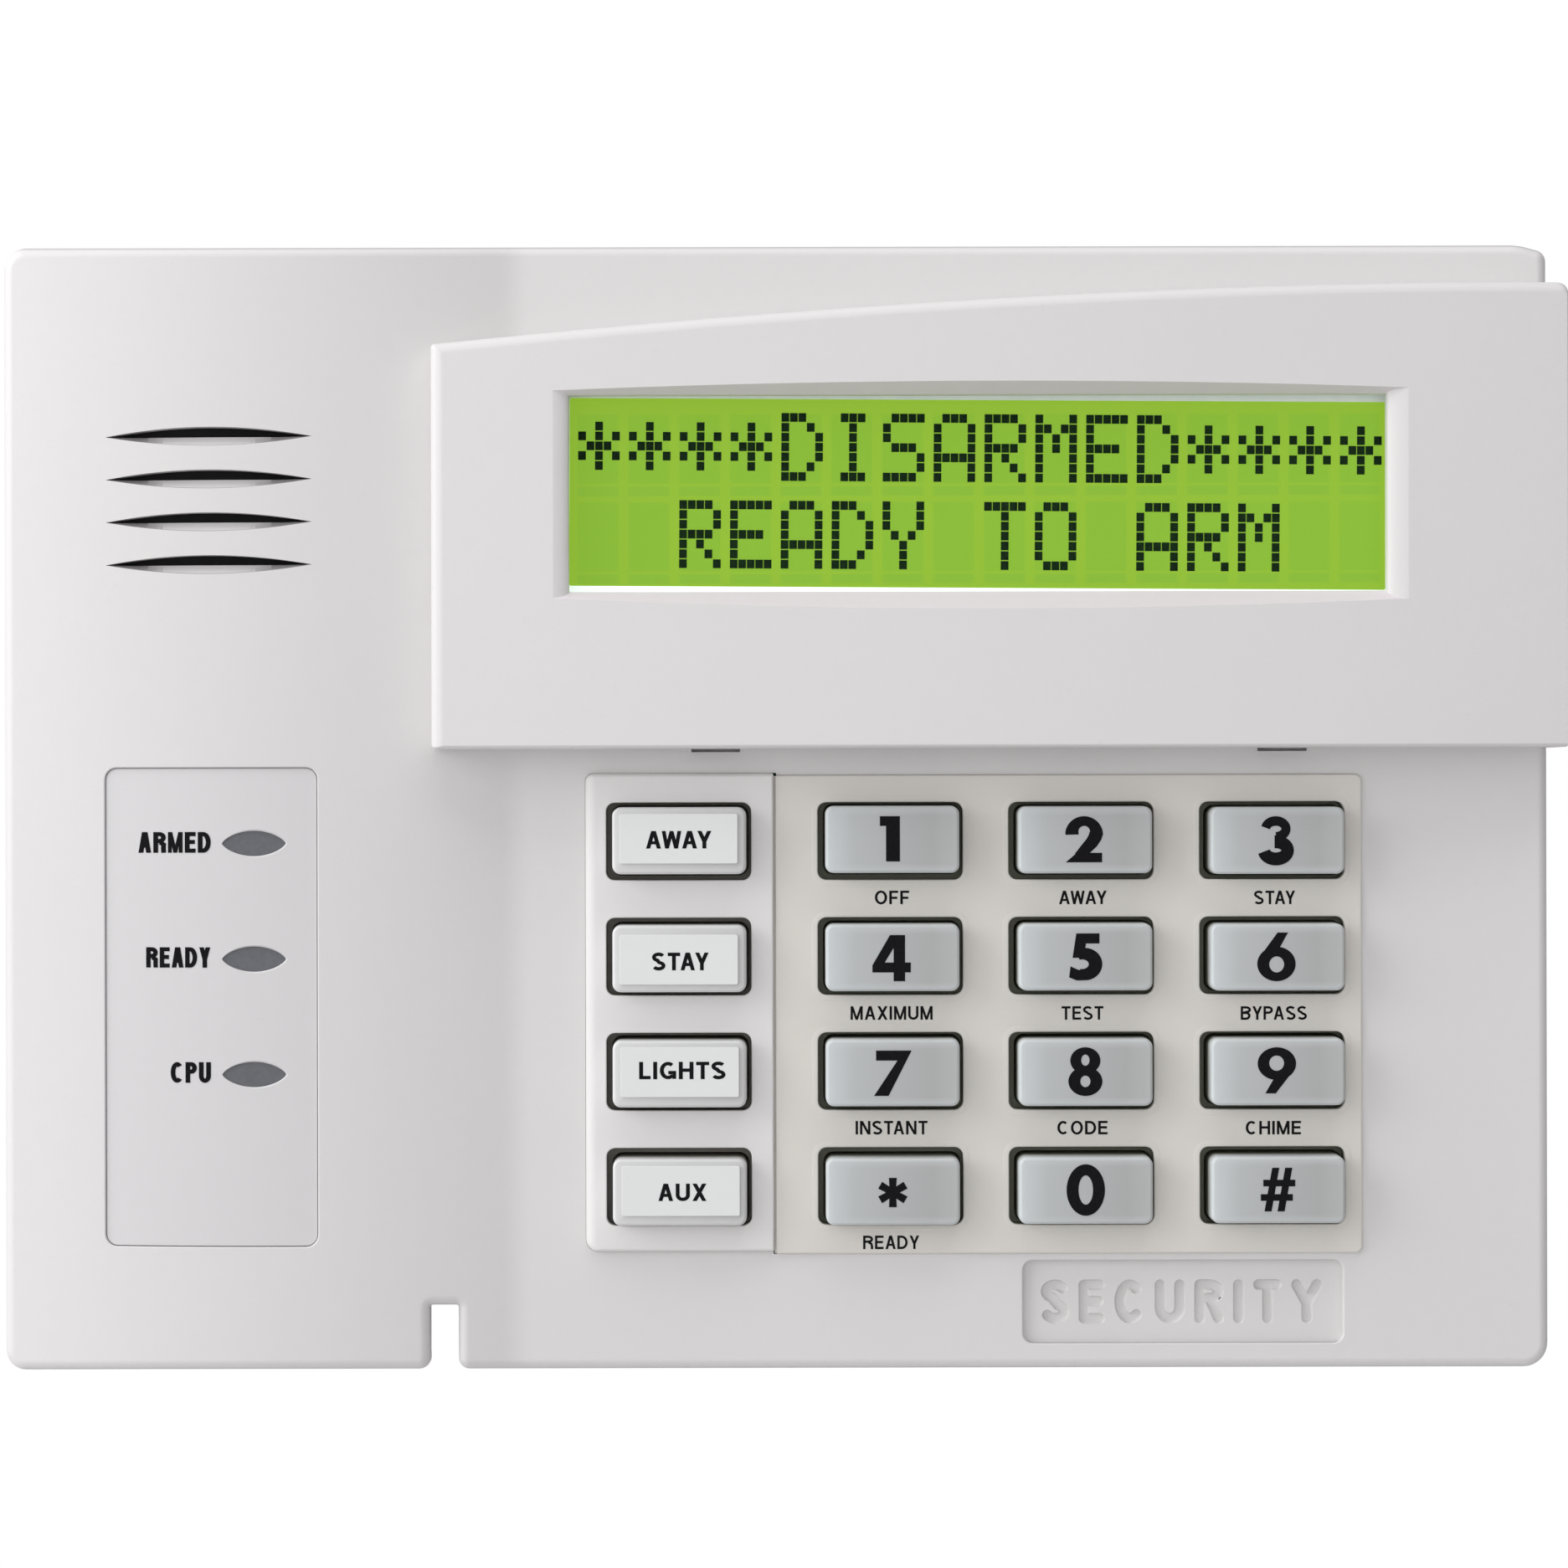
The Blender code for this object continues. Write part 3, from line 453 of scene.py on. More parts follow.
def key_rubber(name, colour, painted_shade_tones, half=(7.93, 3.96), rough=0.5, deep=None):
    """Silicone cap: paler at its thin edges, with painted shade fading from the lit left to the right, matt and
    cloudy.

    tones are (position, colour) stops from the left edge (0) to the right (1): painted shading, lighter on the left
    where the light falls, with a paler translucent rim at the right.
    """
    n = Nodes(name)
    tc = n.node("ShaderNodeTexCoord").outputs["Object"]
    xyz = n.node("ShaderNodeSeparateXYZ", Vector=tc)
    u = n.range(xyz.outputs["X"], -half[0] * MM, half[0] * MM, 0.0, 1.0)
    # painted shade across the cap: lit left side, darker right side
    across = n.ramp(u, painted_shade_tones)
    az = n.math('ABSOLUTE', xyz.outputs["Z"])
    dz = n.math('SUBTRACT', half[1] * MM, az)
    fac = n.range(dz, 0.0001, 0.0011, 0.55, 0.0)
    clouds = n.noise(tc, 260.0, 3.0, 0.55)
    col = n.mix(fac, across, shade(colour, 1.12))
    col = n.mix(n.range(clouds, 0.35, 0.7, 0.0, 0.12), col, shade(colour, 0.82))
    # painted shade: the cap turns dark further back, down in the gap round it
    if deep:
        low = n.range(xyz.outputs["Y"], 0.0012, 0.0050, 0.0, 1.0)
        col = n.mix(low, col, deep)
    fine = n.noise(tc, 4200.0, 2.0)
    normal = n.bump(fine, 0.18, 0.00005)
    normal = n.bump(clouds, 0.10, 0.0002, normal)
    rg = n.range(fine, 0.3, 0.7, rough - 0.06, rough + 0.06)
    return n.set(Base__Color=col, Roughness=rg, Normal=normal)


def metal(name, colour, rough=0.3, brushed=(1, 1, 1), dirt=0.1):
    n = Nodes(name)
    v = n.coords(brushed)
    streak = n.noise(v, 1500.0, 4.0, 0.6)
    stain = n.noise(n.coords(), 90.0, 4.0, 0.6)
    col = n.ramp(stain, [(0.3, shade(colour, 1 - dirt)), (0.65, shade(colour, 1 + dirt))])
    rg = n.range(streak, 0.3, 0.7, rough - 0.08, rough + 0.12)
    normal = n.bump(streak, 0.2, 0.00004)
    return n.set(Base__Color=col, Metallic=1.0, Roughness=rg, Normal=normal)


def board_material(name):
    """Solder mask with copper tracks under it, pads and through-plated holes."""
    n = Nodes(name)
    tc = n.node("ShaderNodeTexCoord").outputs["Object"]
    mp = n.node("ShaderNodeMapping", Vector=tc)
    mp.inputs["Rotation"].default_value = (math.pi / 2, 0, 0)
    vec = mp.outputs["Vector"]
    brick = n.node("ShaderNodeTexBrick", Vector=vec)
    brick.offset = 0.5
    for k, val in (("Scale", 210.0), ("Mortar Size", 0.045), ("Brick Width", 1.3),
                   ("Row Height", 0.32)):
        brick.inputs[k].default_value = val
    brick.inputs["Color1"].default_value = (0.012, 0.085, 0.035, 1)
    brick.inputs["Color2"].default_value = (0.016, 0.11, 0.045, 1)
    brick.inputs["Mortar"].default_value = (0.05, 0.23, 0.09, 1)
    region = n.noise(tc, 45.0, 1.0)
    tracks = n.range(region, 0.46, 0.50, 0.0, 1.0)
    col = n.mix(tracks, (0.014, 0.10, 0.04), brick.outputs["Color"])
    pads = n.node("ShaderNodeTexVoronoi", Vector=vec)
    pads.inputs["Scale"].default_value = 230.0
    pads.inputs["Randomness"].default_value = 0.35
    pad = n.range(pads.outputs["Distance"], 0.10, 0.14, 1.0, 0.0)
    pad = n.math('MULTIPLY', pad, n.range(n.noise(tc, 70.0, 1.0), 0.52, 0.55, 0.0, 1.0))
    col = n.mix(pad, col, (0.62, 0.60, 0.56))
    height = n.math('ADD', n.math('MULTIPLY', brick.outputs["Fac"], tracks), pad)
    normal = n.bump(height, 0.35, 0.0001)
    rg = n.range(n.noise(tc, 500.0, 3.0), 0.3, 0.7, 0.28, 0.42)
    return n.set(Base__Color=col, Roughness=rg, Normal=normal)


CASE_COL = (0.735, 0.718, 0.722)
CASE = plastic("case_plastic", CASE_COL, 0.45, 0.22, 0.012)
# the case shell carries painted shade on its up- and down-facing faces
SHELL = plastic("case_shell_plastic", CASE_COL, 0.45, 0.22, 0.012, painted_ledge_shade=(0.66, 0.85))
# painted light: a less green copy of the case plastic for the window flares, cancelling the green light the display
# throws on them
WINDOW_SIDE = plastic("window_side_plastic", (0.735, 0.682, 0.724), 0.45, 0.22, 0.012)
BACK = plastic("back_plastic", (0.70, 0.69, 0.70), 0.55, 0.4, 0.02)
# painted shade deep in the key holes of the strip and the surround
STRIP_MAT = plastic("strip_plastic", (0.80, 0.785, 0.785), 0.42, 0.15, 0.012,
                    deep=(24.6, (0.37, 0.345, 0.31)))
IVORY = plastic("surround_plastic", (0.735, 0.71, 0.668), 0.46, 0.2, 0.02,
                deep=(24.1, (0.27, 0.285, 0.21)))
# tone stops: painted shading from the lit left to the darker right, a paler translucent rim at the far right; deep
# is painted shade in the gap
KEY_GREY = key_rubber("key_silicone", (0.56, 0.59, 0.60), [
    (0.0, (0.640, 0.680, 0.690)), (0.06, (0.585, 0.620, 0.635)), (0.22, (0.500, 0.520, 0.530)),
    (0.50, (0.455, 0.468, 0.476)), (0.80, (0.420, 0.430, 0.430)),
    (0.94, (0.465, 0.478, 0.478)), (1.0, (0.510, 0.525, 0.525))], deep=(0.20, 0.20, 0.15))
# the function caps carry the same painted shading and painted shade in the gap
KEY_CLEAR = key_rubber("function_key_silicone", (0.64, 0.645, 0.65), [
    (0.0, (0.77, 0.775, 0.78)), (0.05, (0.69, 0.69, 0.695)), (0.5, (0.62, 0.62, 0.622)),
    (0.93, (0.56, 0.56, 0.56)), (1.0, (0.60, 0.60, 0.60))], rough=0.35,
    deep=(0.20, 0.20, 0.15))
LABEL_MAT = plastic("label_film", (0.79, 0.80, 0.80), 0.38, 0.08, 0.008)
FILM = plastic("status_film", (0.690, 0.680, 0.690), 0.5, 0.12, 0.01)
INK = ink("black_ink", (0.006, 0.006, 0.007))
FELT_M = plastic("speaker_felt_fabric", (0.052, 0.051, 0.053), 0.95, 1.0, 0.2, 0.1, 3000.0)
BLACK = plastic("black_moulding", (0.022, 0.022, 0.023), 0.5, 0.3, 0.08)
MAT_GREY = plastic("contact_mat_rubber", (0.35, 0.37, 0.38), 0.7, 0.3, 0.04)
GREEN_BLOCK = plastic("terminal_plastic", (0.04, 0.26, 0.10), 0.45, 0.25, 0.05)
PAPER = plastic("cone_paper", (0.05, 0.05, 0.048), 0.9, 1.2, 0.25, 0.2, 1800.0)
FERRITE = plastic("ferrite_ceramic", (0.075, 0.075, 0.08), 0.55, 0.6, 0.1)
BOARD = board_material("circuit_board")
STEEL = metal("plated_steel", (0.62, 0.62, 0.63), 0.28)
ZINC = metal("zinc_plate", (0.66, 0.64, 0.58), 0.34)
TIN = metal("module_frame_tin", (0.55, 0.55, 0.56), 0.4, (1, 1, 6))


def smoked():
    """Grey window film over the light pipes: fine mottle, soft gloss."""
    n = Nodes("smoked_window")
    v = n.coords()
    m = n.noise(v, 1500.0, 4.0, 0.65)
    col = n.ramp(m, [(0.3, (0.110, 0.113, 0.128)), (0.7, (0.138, 0.142, 0.158))])
    return n.set(Base__Color=col, Roughness=n.range(m, 0.3, 0.7, 0.35, 0.5),
                 Normal=n.bump(m, 0.15, 0.00003))


def lcd_green(origin, pitch_x, cell_w, row_z, dot_z):
    """Back-lit display: yellow-green field, faint character cells, fine weave."""
    n = Nodes("display_field")
    tc = n.node("ShaderNodeTexCoord").outputs["Object"]
    xyz = n.node("ShaderNodeSeparateXYZ", Vector=tc)
    x = n.math('DIVIDE', n.math('SUBTRACT', xyz.outputs["X"], origin * MM), pitch_x * MM)
    fx = n.math('FRACT', x)
    in_cell = n.math('LESS_THAN', fx, cell_w / pitch_x)
    inside = n.math('MULTIPLY', n.math('GREATER_THAN', x, 0.0),
                    n.math('LESS_THAN', x, 16.0))
    in_cell = n.math('MULTIPLY', in_cell, inside)
    cells = None
    ghost = None
    for top in row_z:
        z = n.math('SUBTRACT', top * MM, xyz.outputs["Z"])
        body = n.math('MULTIPLY', n.math('GREATER_THAN', z, 0.0),
                      n.math('LESS_THAN', z, 7 * dot_z * MM))
        tail = n.math('MULTIPLY', n.math('GREATER_THAN', z, (7 * dot_z + 0.35) * MM),
                      n.math('LESS_THAN', z, (8 * dot_z + 0.30) * MM))
        cells = body if cells is None else n.math('ADD', cells, body)
        ghost = tail if ghost is None else n.math('ADD', ghost, tail)
    cells = n.math('MULTIPLY', cells, in_cell)
    ghost = n.math('MULTIPLY', ghost, in_cell)
    field, cell, tail = (0.290, 0.512, 0.030), (0.248, 0.488, 0.030), (0.244, 0.480, 0.034)
    mottle = n.noise(tc, 700.0, 3.0, 0.6)
    col = n.mix(n.math('MULTIPLY', cells, 0.9), field, cell)
    col = n.mix(n.math('MULTIPLY', ghost, 0.9), col, tail)
    broad = n.noise(tc, 30.0, 2.0)
    col = n.mix(n.range(broad, 0.35, 0.65, 0.0, 0.10), col, (0.245, 0.54, 0.04))
    weave = n.node("ShaderNodeTexWave", Vector=tc)
    weave.inputs["Scale"].default_value = 900.0
    weave.bands_direction = 'Z'
    w2 = n.math('MULTIPLY', weave.outputs["Fac"], 0.05)
    col = n.mix(n.math('ADD', w2, n.math('MULTIPLY', mottle, 0.06)), col, (0.20, 0.46, 0.04))
    n.tree.links.new(col, n.shader.inputs["Emission Color"])
    n.shader.inputs["Emission Strength"].default_value = 0.80
    n.shader.inputs["Specular IOR Level"].default_value = 0.1
    dim = n.mix(0.75, col, (0.0, 0.0, 0.0))
    return n.set(Base__Color=dim, Roughness=0.35, Normal=n.bump(mottle, 0.05, 0.00003))


def clear_window():
    n = Nodes("clear_acrylic")
    v = n.coords()
    m = n.noise(v, 120.0, 3.0)
    col = n.ramp(m, [(0.3, (0.80, 0.86, 0.80)), (0.7, (0.86, 0.92, 0.86))])
    return n.set(Base__Color=col, Roughness=n.range(m, 0.3, 0.7, 0.03, 0.07), Alpha=0.006,
                 Specular__IOR__Level=0.15)


def light_guide():
    n = Nodes("light_guide")
    v = n.coords()
    m = n.noise(v, 300.0, 3.0)
    col = n.ramp(m, [(0.3, (0.62, 0.74, 0.36)), (0.7, (0.70, 0.82, 0.42))])
    n.shader.inputs["Emission Color"].default_value = (0.55, 0.75, 0.25, 1)
    n.shader.inputs["Emission Strength"].default_value = 0.4
    return n.set(Base__Color=col, Roughness=0.4)


def led_resin():
    n = Nodes("led_resin")
    v = n.coords()
    m = n.noise(v, 800.0, 3.0)
    col = n.ramp(m, [(0.3, (0.50, 0.55, 0.50)), (0.7, (0.60, 0.65, 0.58))])
    return n.set(Base__Color=col, Roughness=n.range(m, 0.3, 0.7, 0.15, 0.3))


# ------------------------------------------------------------------ front case
NOTCH = (-41.2, -37.9, -59.45)
NOTCH_BACK = -43.7                      # left side of the notch behind the front


def case_corners(r_scale=1.0):
    l, r, t = NOTCH
    return [(-CASE_W, -CASE_H, 2.5), (l, -CASE_H, 1.3), (l, t, 0.3), (r, t, 0.3),
            (r, -CASE_H, 1.3), (CASE_W, -CASE_H, 2.9), (CASE_W, CASE_H - 0.9, 1.4),
            (CASE_W - 3.3, CASE_H, 8.0), (-CASE_W, CASE_H, 2.8)]


def make_case():
    corners = case_corners()
    # outer shell: rear rim with a tiny break, walls, then the rounded front edge
    levels = [(ring_points(corners, 8, 0.15), 2.5), (ring_points(corners, 8, 0.0), 2.7)]
    for inset, d in rounding(1.25, FACE_D, 7):
        levels.append((ring_points(corners, 8, inset), d))
    bm = loft(levels, pod, FACE_D, FACE_D - 1.3, POD_STATIONS)
    for v in bm.verts:
        if -v.co.y / MM > 20.0:
            lift = pod(v.co.x / MM) - FACE_D
            v.co.z = 2.8 * MM + (v.co.z - 2.8 * MM) * (1 - lift / 500.0)
    case = new_object("case_shell", bm)
    inner = rect(-CASE_W, CASE_W, -CASE_H, CASE_H, 0.6)
    inside = loft([(ring_points(inner, 8, WALL), 0.0), (ring_points(inner, 8, WALL), 21.8)],
                  pod, FACE_D, 20.0, POD_STATIONS[::2])
    tools = [new_object("t_inner", inside)]
    # the lower wall stops short of the hinge notch behind the front
    tools.append(cutter("t_notch", rect(NOTCH_BACK, NOTCH[1] + 0.6, -CASE_H - 3.0,
                                        NOTCH[2] + 1.2, 0.0), 0.0, 20.6))
    # room for the display behind the hood
    tools.append(cutter("t_display", rect(-36.0, 88.0, 11.5, 52.0, 1.0), 15.0, 30.0))
    x0, x1, z0, z1 = STRIP
    tools.append(cutter("t_strip", [(x0 - 0.03, z0 - 0.03, 1.5), (0.1, z0 - 0.03, 0.05),
                                    (0.1, z1 + 0.03, 0.05), (x0 - 0.03, z1 + 0.03, 1.0)],
                        15.0, FACE_D, 0.0, 8))
    x0, x1, z0, z1 = SURROUND
    tools.append(cutter("t_keys", [(-0.3, z0 - 0.03, 0.05), (x1 + 0.03, z0 - 0.03, 0.83),
                                   (x1 + 0.03, z1 + 0.03, 0.83), (-0.3, z1 + 0.03, 0.05)],
                        15.0, FACE_D, 0.0, 8))
    tools.append(cutter("t_label", rect(*STATUS, 1.4), FACE_D - 0.62, FACE_D, 0.24,
                        bend=pod, stations=POD_STATIONS))
    tools.append(cutter("t_badge", rect(*BADGE, 1.15), FACE_D - 1.6, FACE_D, 0.30))
    for i, (a, b) in enumerate(((-10.0, -4.2), (57.6, 63.5))):
        tools.append(cutter(f"t_latch{i}", rect(a, b, HOOD_B - 0.38, HOOD_B + 1.0, 0.1),
                            22.4, 25.0))
    for i, z in enumerate(LED_Z):
        tools.append(new_object(f"t_led{i}", loft([
            (lens_points(LED_X, z, 3.95, 1.65), 15.0),
            (lens_points(LED_X, z, 3.95, 1.65), 30.0)])))
    for i, z in enumerate(LOUVRES):
        tools.append(louvre_cutter(f"t_louvre{i}", z))
    boolean(case, tools)
    # four screw bosses moulded inside
    posts = []
    for i, (x, z) in enumerate(((-84.0, -50.0), (84.0, -50.0), (-84.0, 55.0), (84.0, 54.5))):
        top = min(pod(x - 3), pod(x + 3)) - 1.0
        circle = [(x + 3 * math.cos(t), z + 3 * math.sin(t))
                  for t in np.linspace(0, 2 * math.pi, 24, endpoint=False)]
        posts.append(new_object(f"t_boss{i}", loft([(circle, 13.9), (circle, top)])))
    boolean(case, posts, 'UNION')
    bores = []
    for i, (x, z) in enumerate(((-84.0, -50.0), (84.0, -50.0), (-84.0, 55.0), (84.0, 54.5))):
        circle = [(x + 1.25 * math.cos(t), z + 1.25 * math.sin(t))
                  for t in np.linspace(0, 2 * math.pi, 20, endpoint=False)]
        bores.append(new_object(f"t_bore{i}", loft([(circle, 10.0), (circle, 21.0)])))
    boolean(case, bores)
    finish_piece(case, SHELL, angle=36.0, surfaces=[(pod, 0.03)],
                 replaces=["front_case"])
    return case


def make_back():
    """Back plate: floor with screw slots and wire entry, inside a locating wall."""
    def outline(inset, r, side=0.0):
        _, right, top = NOTCH
        return [(-CASE_W + inset, -CASE_H + inset, r), (NOTCH_BACK - side, -CASE_H + inset, 0.6),
                (NOTCH_BACK - side, top + inset, 0.2), (right + inset, top + inset, 0.2),
                (right + inset, -CASE_H + inset, 0.6), (CASE_W - inset, -CASE_H + inset, r),
                (CASE_W - inset, CASE_H - inset, r), (-CASE_W + inset, CASE_H - inset, r)]
    floor = outline(0.4, 2.3)
    ob = new_object("back_shell", loft([
        (ring_points(floor, 6, 0.35), 0.0), (ring_points(floor, 6, 0.1), 0.12),
        (ring_points(floor, 6, 0.0), 0.4), (ring_points(floor, 6, 0.0), 2.2)]))
    wall = outline(WALL + 0.4, 0.5, 0.3)
    ring = new_object("t_wall", loft([
        (ring_points(wall, 4, 0.0), 1.2), (ring_points(wall, 4, 0.0), 7.7),
        (ring_points(wall, 4, 0.25), 8.0)]))
    inside = outline(WALL + 1.9, 0.5, 1.8)
    boolean(ring, [new_object("t_wall_in", loft([
        (ring_points(inside, 4, 0.0), 0.5), (ring_points(inside, 4, 0.0), 9.0)]))])
    snaps = []
    for z in (25.0, -25.0):
        for side in (-1, 1):
            a, b = sorted((side * (CASE_W - 3.2), side * (CASE_W - 1.7)))
            snaps.append(new_object("t_snap", loft([
                (ring_points(rect(a, b, z - 6, z + 6), 2, 0.0), 5.1),
                (ring_points(rect(a, b, z - 6, z + 6), 2, 0.0), 6.9)])))
    boolean(ob, [ring] + snaps, 'UNION')
    tools = [cutter("t_wires", rect(-38.0, -4.0, 10.0, 34.0, 3.0), -0.5, 2.2, 0.25)]
    for z in (41.65, -41.65):
        for x in (-23.0, 0.0, 23.0):
            # slot for a round-headed screw, in a shallow seat on the wall side
            tools.append(new_object("t_slot", loft([
                (ring_points(crect(x, z, 4.5, 9.0, 2.2), 6), -1.0),
                (ring_points(crect(x, z, 4.5, 9.0, 2.2), 6), 4.0)])))
            tools.append(new_object("t_seat", loft([
                (ring_points(crect(x, z, 8.0, 12.5, 3.9), 6), -1.0),
                (ring_points(crect(x, z, 8.0, 12.5, 3.9), 6), 0.6)])))
    for x0, x1 in ((14.0, 60.0), (-84.0, -46.0)):
        for z in (-20.0, 0.0, 20.0):
            tools.append(new_object("t_core", loft([
                (ring_points(rect(x0, x1, z - 8.0, z + 8.0, 1.5), 4), -1.0),
                (ring_points(rect(x0 + 0.3, x1 - 0.3, z - 7.7, z + 7.7, 1.2), 4), 0.5)])))
    boolean(ob, tools)
    return finish_piece(ob, BACK, angle=30.0, replaces=["back_plate"])


def lens_points(x, z, a, b, seg=24):
    """Pointed oval made of two circular-looking arcs."""
    pts = []
    # closer points near the two tips, where the arcs turn in
    us = [-math.cos(math.pi * k / seg) for k in range(seg)]
    for u in us:
        pts.append((x + a * u, z - b * max(0.0, 1 - u * u) ** 0.72))
    for u in us:
        pts.append((x - a * u, z + b * max(0.0, 1 - u * u) ** 0.72))
    return pts


def louvre_cutter(name, z):
    """Sound slot: open from the chord up to the arc, scooped below the chord."""
    half, rise, cuts = 12.3, 1.12, 40
    bm = bmesh.new()
    rows = []
    for k in range(cuts + 1):
        u = -half + 2 * half * k / cuts
        h = max(rise * (1 - (u / half) ** 2), 0.012)
        s = pod(SPK_X + u)
        # a shallow scoop below the chord, and the open slot above it
        deep = min(1.0, h / 0.6)
        sec = [(z - h, s + 0.01), (z - 0.88 * h, s - 0.75 * deep),
               (z - 0.02, s - 1.55 * deep), (z, s - 6.0), (z + h, s - 6.0),
               (z + h, s + 1.5), (z - h, s + 1.5)]
        rows.append([bm.verts.new(((SPK_X + u) * MM, -d * MM, zz * MM))
                     for zz, d in sec])
    n = len(rows[0])
    for a, b in zip(rows, rows[1:]):
        for i in range(n):
            j = (i + 1) % n
            bm.faces.new((a[i], a[j], b[j], b[i]))
    bm.faces.new(rows[0][::-1])
    bm.faces.new(rows[-1])
    return new_object(name, bm)


def hood_corners():
    xs = [88.0 - 6.4 * k for k in range(20)]
    xs = [x for x in xs if x > HOOD_L + 3]
    right = HOOD_R + 0.36
    c = [(HOOD_L, HOOD_B, 0.5), (right, HOOD_B, 0.5), (right, hood_top(right), 1.3)]
    c += [(x, hood_top(x), 0.0) for x in xs]
    c.append((HOOD_L, hood_top(HOOD_L), 0.5))
    scale = [0.55, 0.35] + [1.7] * (len(c) - 3) + [1.9]
    return c, scale


def make_hood():
    corners, scale = hood_corners()
    base = 30.0
    levels = [(ring_points(corners, 6, 0.15), 16.0), (ring_points(corners, 6, 0.0), 16.15)]
    for inset, d in rounding(1.0, base, 7):
        levels.append((ring_points(corners, 6, inset, scale), d))
    hood = new_object("display_hood", loft(levels, crown, base, base - 1.05,
                                           HOOD_STATIONS))
    inner = [(c[0], c[1], min(c[2], 0.3)) for c in corners]
    tools = [new_object("t_hood_inner", loft([
        (ring_points(inner, 6, WALL), 10.0), (ring_points(inner, 6, WALL), 28.9)]))]
    # window: a straight throat, planar flares above and below, soft flares beside it
    x0, x1, z0, z1 = RIM
    aL, bL, aR, bR, below, above = 3.0, 0.95, 3.8, 1.22, 0.85, 0.56
    rows = [(26.0, 0.0, 0.0, 0.0), (RIM_D, 0.0, 0.0, 0.0)]
    heights = [bR * (1 - math.cos(math.radians(90 * k / 14))) for k in range(1, 15)]
    heights = sorted(set(round(h, 4) for h in
                         [bR * math.sin(math.radians(90 * k / 16)) for k in range(1, 17)]
                         + [bL * math.sin(math.radians(90 * k / 12)) for k in range(1, 13)]))
    for h in heights:
        sL = aL * (1 - math.sqrt(max(0.0, 1 - min(1.0, h / bL) ** 2)))
        sR = aR * (1 - math.sqrt(max(0.0, 1 - min(1.0, h / bR) ** 2)))
        rows.append((RIM_D + h, sL, sR, h))
    rows.append((RIM_D + 4.2, aL + 0.02, aR + 0.02, 4.2))
    levels = []
    for d, sl, sr, h in rows:
        levels.append((ring_points(rect(x0 - sl, x1 + sr, z0 - below * h, z1 + above * h,
                                        0.12), 2), d))
    tools.append(new_object("t_window", loft(levels)))
    for i, (a, b) in enumerate(((-10.0, -4.2), (57.6, 63.5))):
        tools.append(cutter(f"t_hlatch{i}", rect(a, b, HOOD_B - 1.0, HOOD_B + 1.2, 0.0),
                            24.2, 23.2))
    boolean(hood, tools)
    finish_piece(hood, CASE, angle=32.0,
                 surfaces=[(crown, 0.035)], replaces=["front_case"])
    # the sloping sides of the window, painted less green to cancel the display's green light on them
    hood.data.materials.append(WINDOW_SIDE)
    for f in hood.data.polygons:
        x, d, z = f.center.x / MM, -f.center.y / MM, f.center.z / MM
        if -28.0 < x < 77.0 and 22.0 < z < 52.5 and d > 29.0 and abs(f.normal.z) > 0.5:
            f.material_index = 1
    return hood


# ------------------------------------------------------------------ key inserts
def hole_cutters(places, top):
    """Key holes: a wide mouth down to a ledge that fits round the moving cap."""
    tools = []
    for k, (x, z, dx, dz) in enumerate(places):
        tools.append(cutter(f"t_hole{k}", crect(x, z, 17.3, 9.25, 1.05), LEDGE_D, top, 0.16))
        tools.append(cutter(f"t_cap{k}", crect(x + dx, z + dz, 16.44, 8.5, 1.2), 18.0,
                            LEDGE_D - 1.0))
    return tools


LEDGE_D = 21.2
CAP_DX = (0.12, 0.21, 0.33, 0.36)
CAP_DZ = ((0.10, 0.20, 0.11, 0.0), (-0.17, -0.09, -0.06, -0.12),
          (-0.11, -0.02, -0.03, 0.0), (-0.43, -0.40, -0.31, -0.28))


def make_surround():
    x0, x1, z0, z1 = SURROUND
    corners = [(x0, z0, 0.25), (x1, z0, 0.8), (x1, z1, 0.8), (x0, z1, 0.25)]
    scale = [1.0, 1.0, 1.0, 0.35]
    levels = [(ring_points(corners, 8), 20.3)]
    for inset, d in rounding(0.28, SURROUND_D, 4):
        levels.append((ring_points(corners, 8, inset, scale), d))
    ob = new_object("keypad_bezel", loft(levels))
    rim = new_object("t_rim", loft([
        (ring_points(rect(x0 + 0.6, x1 + 1.5, z0 - 1.5, z1 + 1.5, 1.0), 5), 20.5),
        (ring_points(rect(x0 + 0.6, x1 + 1.5, z0 - 1.5, z1 + 1.5, 1.0), 5), 21.5)]))
    lip = new_object("t_lip", loft([
        (ring_points(rect(-0.17, 1.0, z0 + 0.1, z1 - 0.1, 0.05), 2), 20.4),
        (ring_points(rect(-0.17, 1.0, z0 + 0.1, z1 - 0.1, 0.05), 2), 24.1)]))
    boolean(ob, [rim, lip], 'UNION')
    pads = []
    for i, z in enumerate(KEY_Z):
        for j, x in enumerate(KEY_X):
            c = crect(x, z, 17.3, 9.25, 1.05)
            pads.append(new_object(f"t_pad{i}{j}", loft([
                (ring_points(c, 6, -0.72), 23.8), (ring_points(c, 6, -0.72), SURROUND_D + 0.01),
                (ring_points(c, 6, -0.60), SURROUND_D + 0.05),
                (ring_points(c, 6, 1.0), SURROUND_D + 0.05)])))
    boolean(ob, pads, 'UNION')
    boolean(ob, hole_cutters([(x, z, CAP_DX[j + 1], CAP_DZ[i][j + 1])
                              for i, z in enumerate(KEY_Z) for j, x in enumerate(KEY_X)],
                             SURROUND_D + 0.05))
    return finish_piece(ob, IVORY, replaces=["keypad_surround"])


